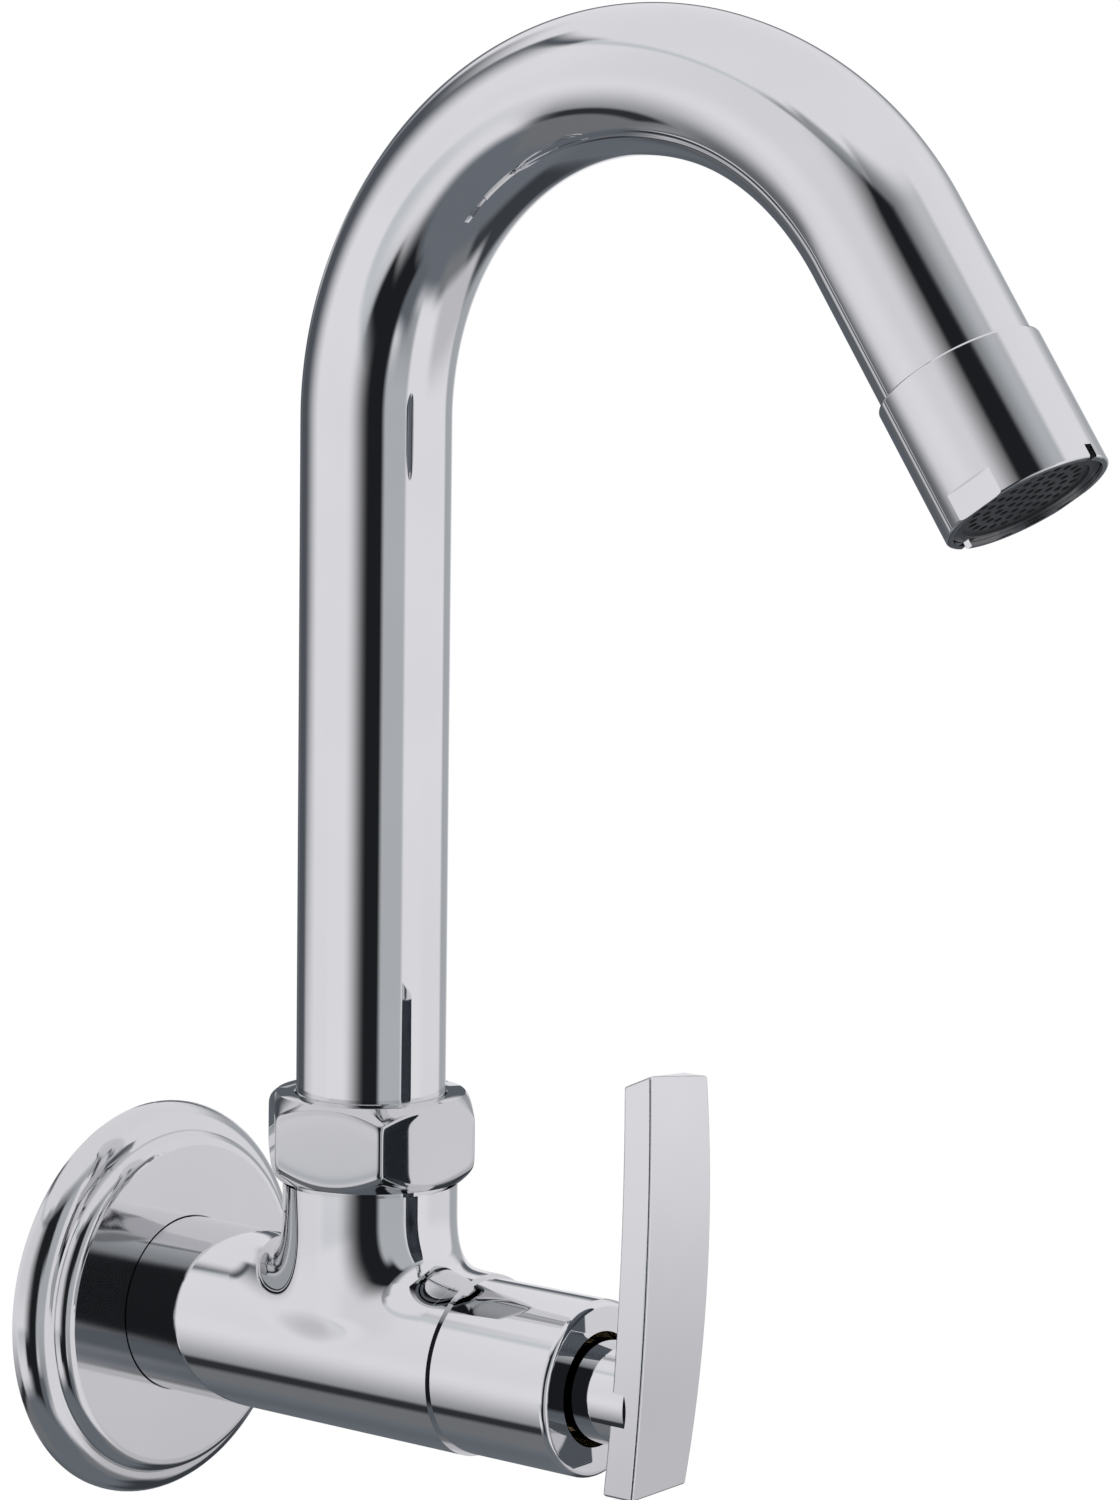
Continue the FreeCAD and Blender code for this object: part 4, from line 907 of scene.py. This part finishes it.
@dataclass
class TeeBlend:
    """The soft flow of the casting from the barrel into the branch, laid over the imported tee.

    The skin is lifted a hair over the casting so that it covers it. It runs from the branch, at the
    height called top, down to where it meets the barrel.
    """

    barrel: float = 13.3 * MM
    branch: float = 12.9 * MM
    width: float = 8.3 * MM
    side_gain: float = 0.6
    fade: float = 7.0 * MM
    top: float = 24.0 * MM
    reach: float = 8.4 * MM
    lift: float = 0.012 * MM
    skin: float = 0.25 * MM
    probe: float = 0.02 * MM
    least_lean: float = 0.01
    around: int = 240
    rows: int = 72
    halvings: int = 26
    search: Span = (0.5, 4.0)

    def depth(self, point: Vector) -> float:
        """How far a point lies outside the blended skin, negative inside it.

        The skin is the nearer of two cylinders, joined by a cubic whose width grows with the height and
        with the angle between the two.
        """
        outward = point.y + SPOUT_OFFSET
        from_barrel = math.hypot(point.x, point.z)
        from_branch = math.hypot(point.x, outward)
        alike = min(1.0, point.x * point.x / (from_barrel * from_branch))
        rise = min(1.0, max(0.0, point.z / self.fade))
        width = self.width * math.sqrt(1.0 - alike * alike) * (1.0 + self.side_gain * alike)
        width *= rise * rise * (3.0 - 2.0 * rise)
        first, second = from_barrel - self.barrel, from_branch - self.branch
        overlap = width - abs(first - second)
        if overlap <= 0.0:
            return min(first, second)
        return min(first, second) - overlap ** 3 / (6.0 * width * width)

    def normal(self, point: Vector) -> Vector:
        """The skin's outward direction near a point."""
        slope = []
        for axis in range(len(point)):
            shift = Vector((0.0, 0.0, 0.0))
            shift[axis] = self.probe
            slope.append(self.depth(point + shift) - self.depth(point - shift))
        return Vector(slope).normalized()

    def foot_angle(self, turn: float) -> float:
        """Angle above the horizon, seen from the middle of the tee, where the skin ends."""
        lean = abs(math.cos(turn))
        out = min(self.branch + self.reach, self.barrel / max(lean, self.least_lean))
        height = math.sqrt(max(0.0, self.barrel ** 2 - (out * lean) ** 2))
        return math.atan2(height, out)

    def meet(self, turn: float, climb: float) -> Vector:
        """Where a line from the middle of the tee comes out of the skin.

        Args:
            turn: Angle round the branch, from +X.
            climb: Angle above the horizon.

        Returns:
            The place on the skin.
        """
        middle = Vector((0.0, -SPOUT_OFFSET, 0.0))
        level = math.cos(climb)
        along = Vector((math.cos(turn) * level, math.sin(turn) * level, math.sin(climb)))
        near, far = (share * self.barrel for share in self.search)
        for _ in range(self.halvings):
            half = 0.5 * (near + far)
            if self.depth(middle + along * half) < 0.0:
                near = half
            else:
                far = half
        return middle + along * near

    def build(self, dresser: Dresser, finish: Finish) -> bpy.types.Object:
        """Build the skin over the tee.

        Args:
            dresser: Puts the finish on.
            finish: The casting's finish.

        Returns:
            The skin.
        """
        turns = turns_of(self.around)
        crown = math.atan2(self.top, self.branch)
        falls = [self.foot_angle(turn) - crown for turn in turns]
        rings = []
        for row in range(self.rows + 1):
            share = row / self.rows
            rings.append([self.meet(turn, crown + fall * share) for turn, fall in zip(turns, falls)])
        normals = [[self.normal(point) for point in ring] for ring in rings]
        inward = [[-normal for normal in ring] for ring in normals]
        skin = moved(rings, normals, self.lift) + moved(rings, normals, -self.skin)[::-1]
        blend = sew("cast_tee_blend", skin, Body.FIXED, normals + inward[::-1])
        dresser.cover(blend, finish)
        return blend


class Station(NamedTuple):
    """A place along the tube: its centre, the way out of the bend and the share of the flattening."""

    centre: Vector
    outward: Vector
    squeeze: float


@dataclass
class SwanNeck:
    """The bent tube, a little flattened across its bend as drawn tubes are.

    The turn of the bend, and the part of it over which the flattening settles, are in degrees.
    """

    foot: float = 35.0 * MM
    bend_start: float = 136.35 * MM
    bend_radius: float = 48.15 * MM
    turn: float = 146.2
    last_run: float = 28.3 * MM
    radius: float = 11.0 * MM
    wall: float = 1.0 * MM
    flattening: float = 0.055
    widening: float = 0.02
    settle: float = 42.0
    around: int = 240
    bend_rows: int = 192
    bore_step: int = 4
    riser_rows: int = 8
    run_rows: int = 6

    def squeeze(self, turn: float) -> float:
        """Share of the full flattening at an angle along the bend."""
        return swell(max(0.0, min(1.0, turn / self.settle, (self.turn - turn) / self.settle)))

    def riser(self) -> list[Station]:
        """Stations up the straight part, from the foot."""
        rise = self.bend_start - self.foot
        heights = [self.foot + rise * row / self.riser_rows for row in range(self.riser_rows)]
        backward = Vector((0.0, 1.0, 0.0))
        return [Station(Vector((0.0, -SPOUT_OFFSET, height)), backward, 0.0) for height in heights]

    def bend(self) -> list[Station]:
        """Stations round the bend."""
        middle = Vector((0.0, -SPOUT_OFFSET - self.bend_radius, self.bend_start))
        stations = []
        for row in range(self.bend_rows + 1):
            turn = self.turn * row / self.bend_rows
            outward = Vector((0.0, math.cos(math.radians(turn)), math.sin(math.radians(turn))))
            stations.append(Station(middle + outward * self.bend_radius, outward, self.squeeze(turn)))
        return stations

    def run(self, last: Station) -> list[Station]:
        """Stations down the straight part that follows the bend's last one."""
        along = Vector((0.0, -last.outward.z, last.outward.y))
        lengths = [self.last_run * row / self.run_rows for row in range(1, self.run_rows + 1)]
        return [Station(last.centre + along * length, last.outward, 0.0) for length in lengths]

    def ring(self, station: Station, radius: float) -> Ring:
        """One ring of points round the tube.

        Args:
            station: Where the ring lies.
            radius: The round tube's radius there.

        Returns:
            The points in order.
        """
        deep = radius - self.radius * self.flattening * station.squeeze
        wide = radius + self.radius * self.widening * station.squeeze
        points = []
        for turn in turns_of(self.around):
            sideways = Vector((wide * math.sin(turn), 0.0, 0.0))
            points.append(station.centre + station.outward * (deep * math.cos(turn)) + sideways)
        return points

    def build(self, dresser: Dresser, finish: Finish) -> bpy.types.Object:
        """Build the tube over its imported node.

        Args:
            dresser: Puts the finish on.
            finish: The tube's finish.

        Returns:
            The tube.
        """
        bend = self.bend()
        outside = self.riser() + bend + self.run(bend[-1])
        bore = outside[::self.bore_step] + outside[-1:]
        rings = [self.ring(station, self.radius) for station in outside]
        rings += [self.ring(station, self.radius - self.wall) for station in reversed(bore)]
        tube = sew("drawn_spout_tube", rings, Body.SPOUT)
        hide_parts("spout_tube")
        dresser.cover(tube, finish)
        return tube


@dataclass
class SubAssembly:
    """Pieces that move together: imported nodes, and the meshes built here that go with them."""

    dresser: Dresser

    def build(self) -> None:
        """Build the meshes, where the sub-assembly has some."""

    def dress(self) -> None:
        """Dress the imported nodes."""
        raise NotImplementedError


@dataclass
class FixedPart(SubAssembly):
    """What stays on the wall: body, flange, headwork, cover and nut."""

    nut: SpoutNut = field(default_factory=SpoutNut)
    blend: TeeBlend = field(default_factory=TeeBlend)

    def build(self) -> None:
        """Build the nut and the tee's blend."""
        finishes = self.dresser.finishes
        # The nut takes the chrome darkened with painted shade.
        self.nut.build(self.dresser, finishes.nut_shaded_plate)
        self.blend.build(self.dresser, finishes.casting)

    def dress(self) -> None:
        """Dress the fixed nodes."""
        finishes = self.dresser.finishes
        self.dresser.dress(finishes.casting, "valve_body")
        self.dresser.dress(finishes.pressing, "wall_flange")
        self.dresser.dress(finishes.chrome, "cover_sleeve")
        self.dresser.dress(finishes.brass, "headwork_bush")
        self.dresser.dress(finishes.fibre, "headwork_gasket")
        self.dresser.dress(finishes.ceramic, "fixed_disc")
        self.dresser.dress(finishes.rubber, "seat_seal")


@dataclass
class HandleSet(SubAssembly):
    """What turns with the hand: lever, grub screw, spindle and moving disc."""

    def dress(self) -> None:
        """Dress the nodes of the handle."""
        finishes = self.dresser.finishes
        self.dresser.dress(finishes.lever, "lever")
        self.dresser.dress(finishes.brass, "spindle")
        self.dresser.dress(finishes.rubber, "spindle_o_rings")
        self.dresser.dress(finishes.ceramic, "moving_disc")
        self.dresser.dress(finishes.slip, "thrust_washer")
        self.dresser.dress(finishes.steel, "lever_grub_screw", "spindle_circlip")


@dataclass
class SpoutSet(SubAssembly):
    """What swivels: the swan-neck tube, its ferrule and the aerator."""

    neck: SwanNeck = field(default_factory=SwanNeck)

    def build(self) -> None:
        """Build the tube."""
        self.neck.build(self.dresser, self.dresser.finishes.chrome)

    def dress(self) -> None:
        """Dress the nodes of the spout."""
        finishes = self.dresser.finishes
        self.dresser.dress(finishes.chrome, "aerator_housing")
        self.dresser.dress(finishes.brass, "spout_ferrule")
        self.dresser.dress(finishes.rubber, "spout_o_rings", "aerator_gasket")
        self.dresser.dress(finishes.slip, "spout_thrust_ring", "spout_slip_ring")
        self.dresser.dress(finishes.dark, "aerator_cartridge", "aerator_grid", "aerator_spacer",
                           "aerator_diffuser")
        self.dresser.dress(finishes.steel, "aerator_screens")


def main() -> None:
    """Build the setting and the sub-assemblies in order."""
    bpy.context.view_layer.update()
    bpy.context.scene.view_settings.view_transform = "Standard"
    camera = PhotoCamera()
    camera.build()
    Studio(facing=camera.turn).build()
    dresser = Dresser(Finishes())
    for assembly in (FixedPart(dresser), HandleSet(dresser), SpoutSet(dresser)):
        assembly.build()
        assembly.dress()
        log.info("%s is built and dressed", type(assembly).__name__)


if __name__ == "__main__":
    main()
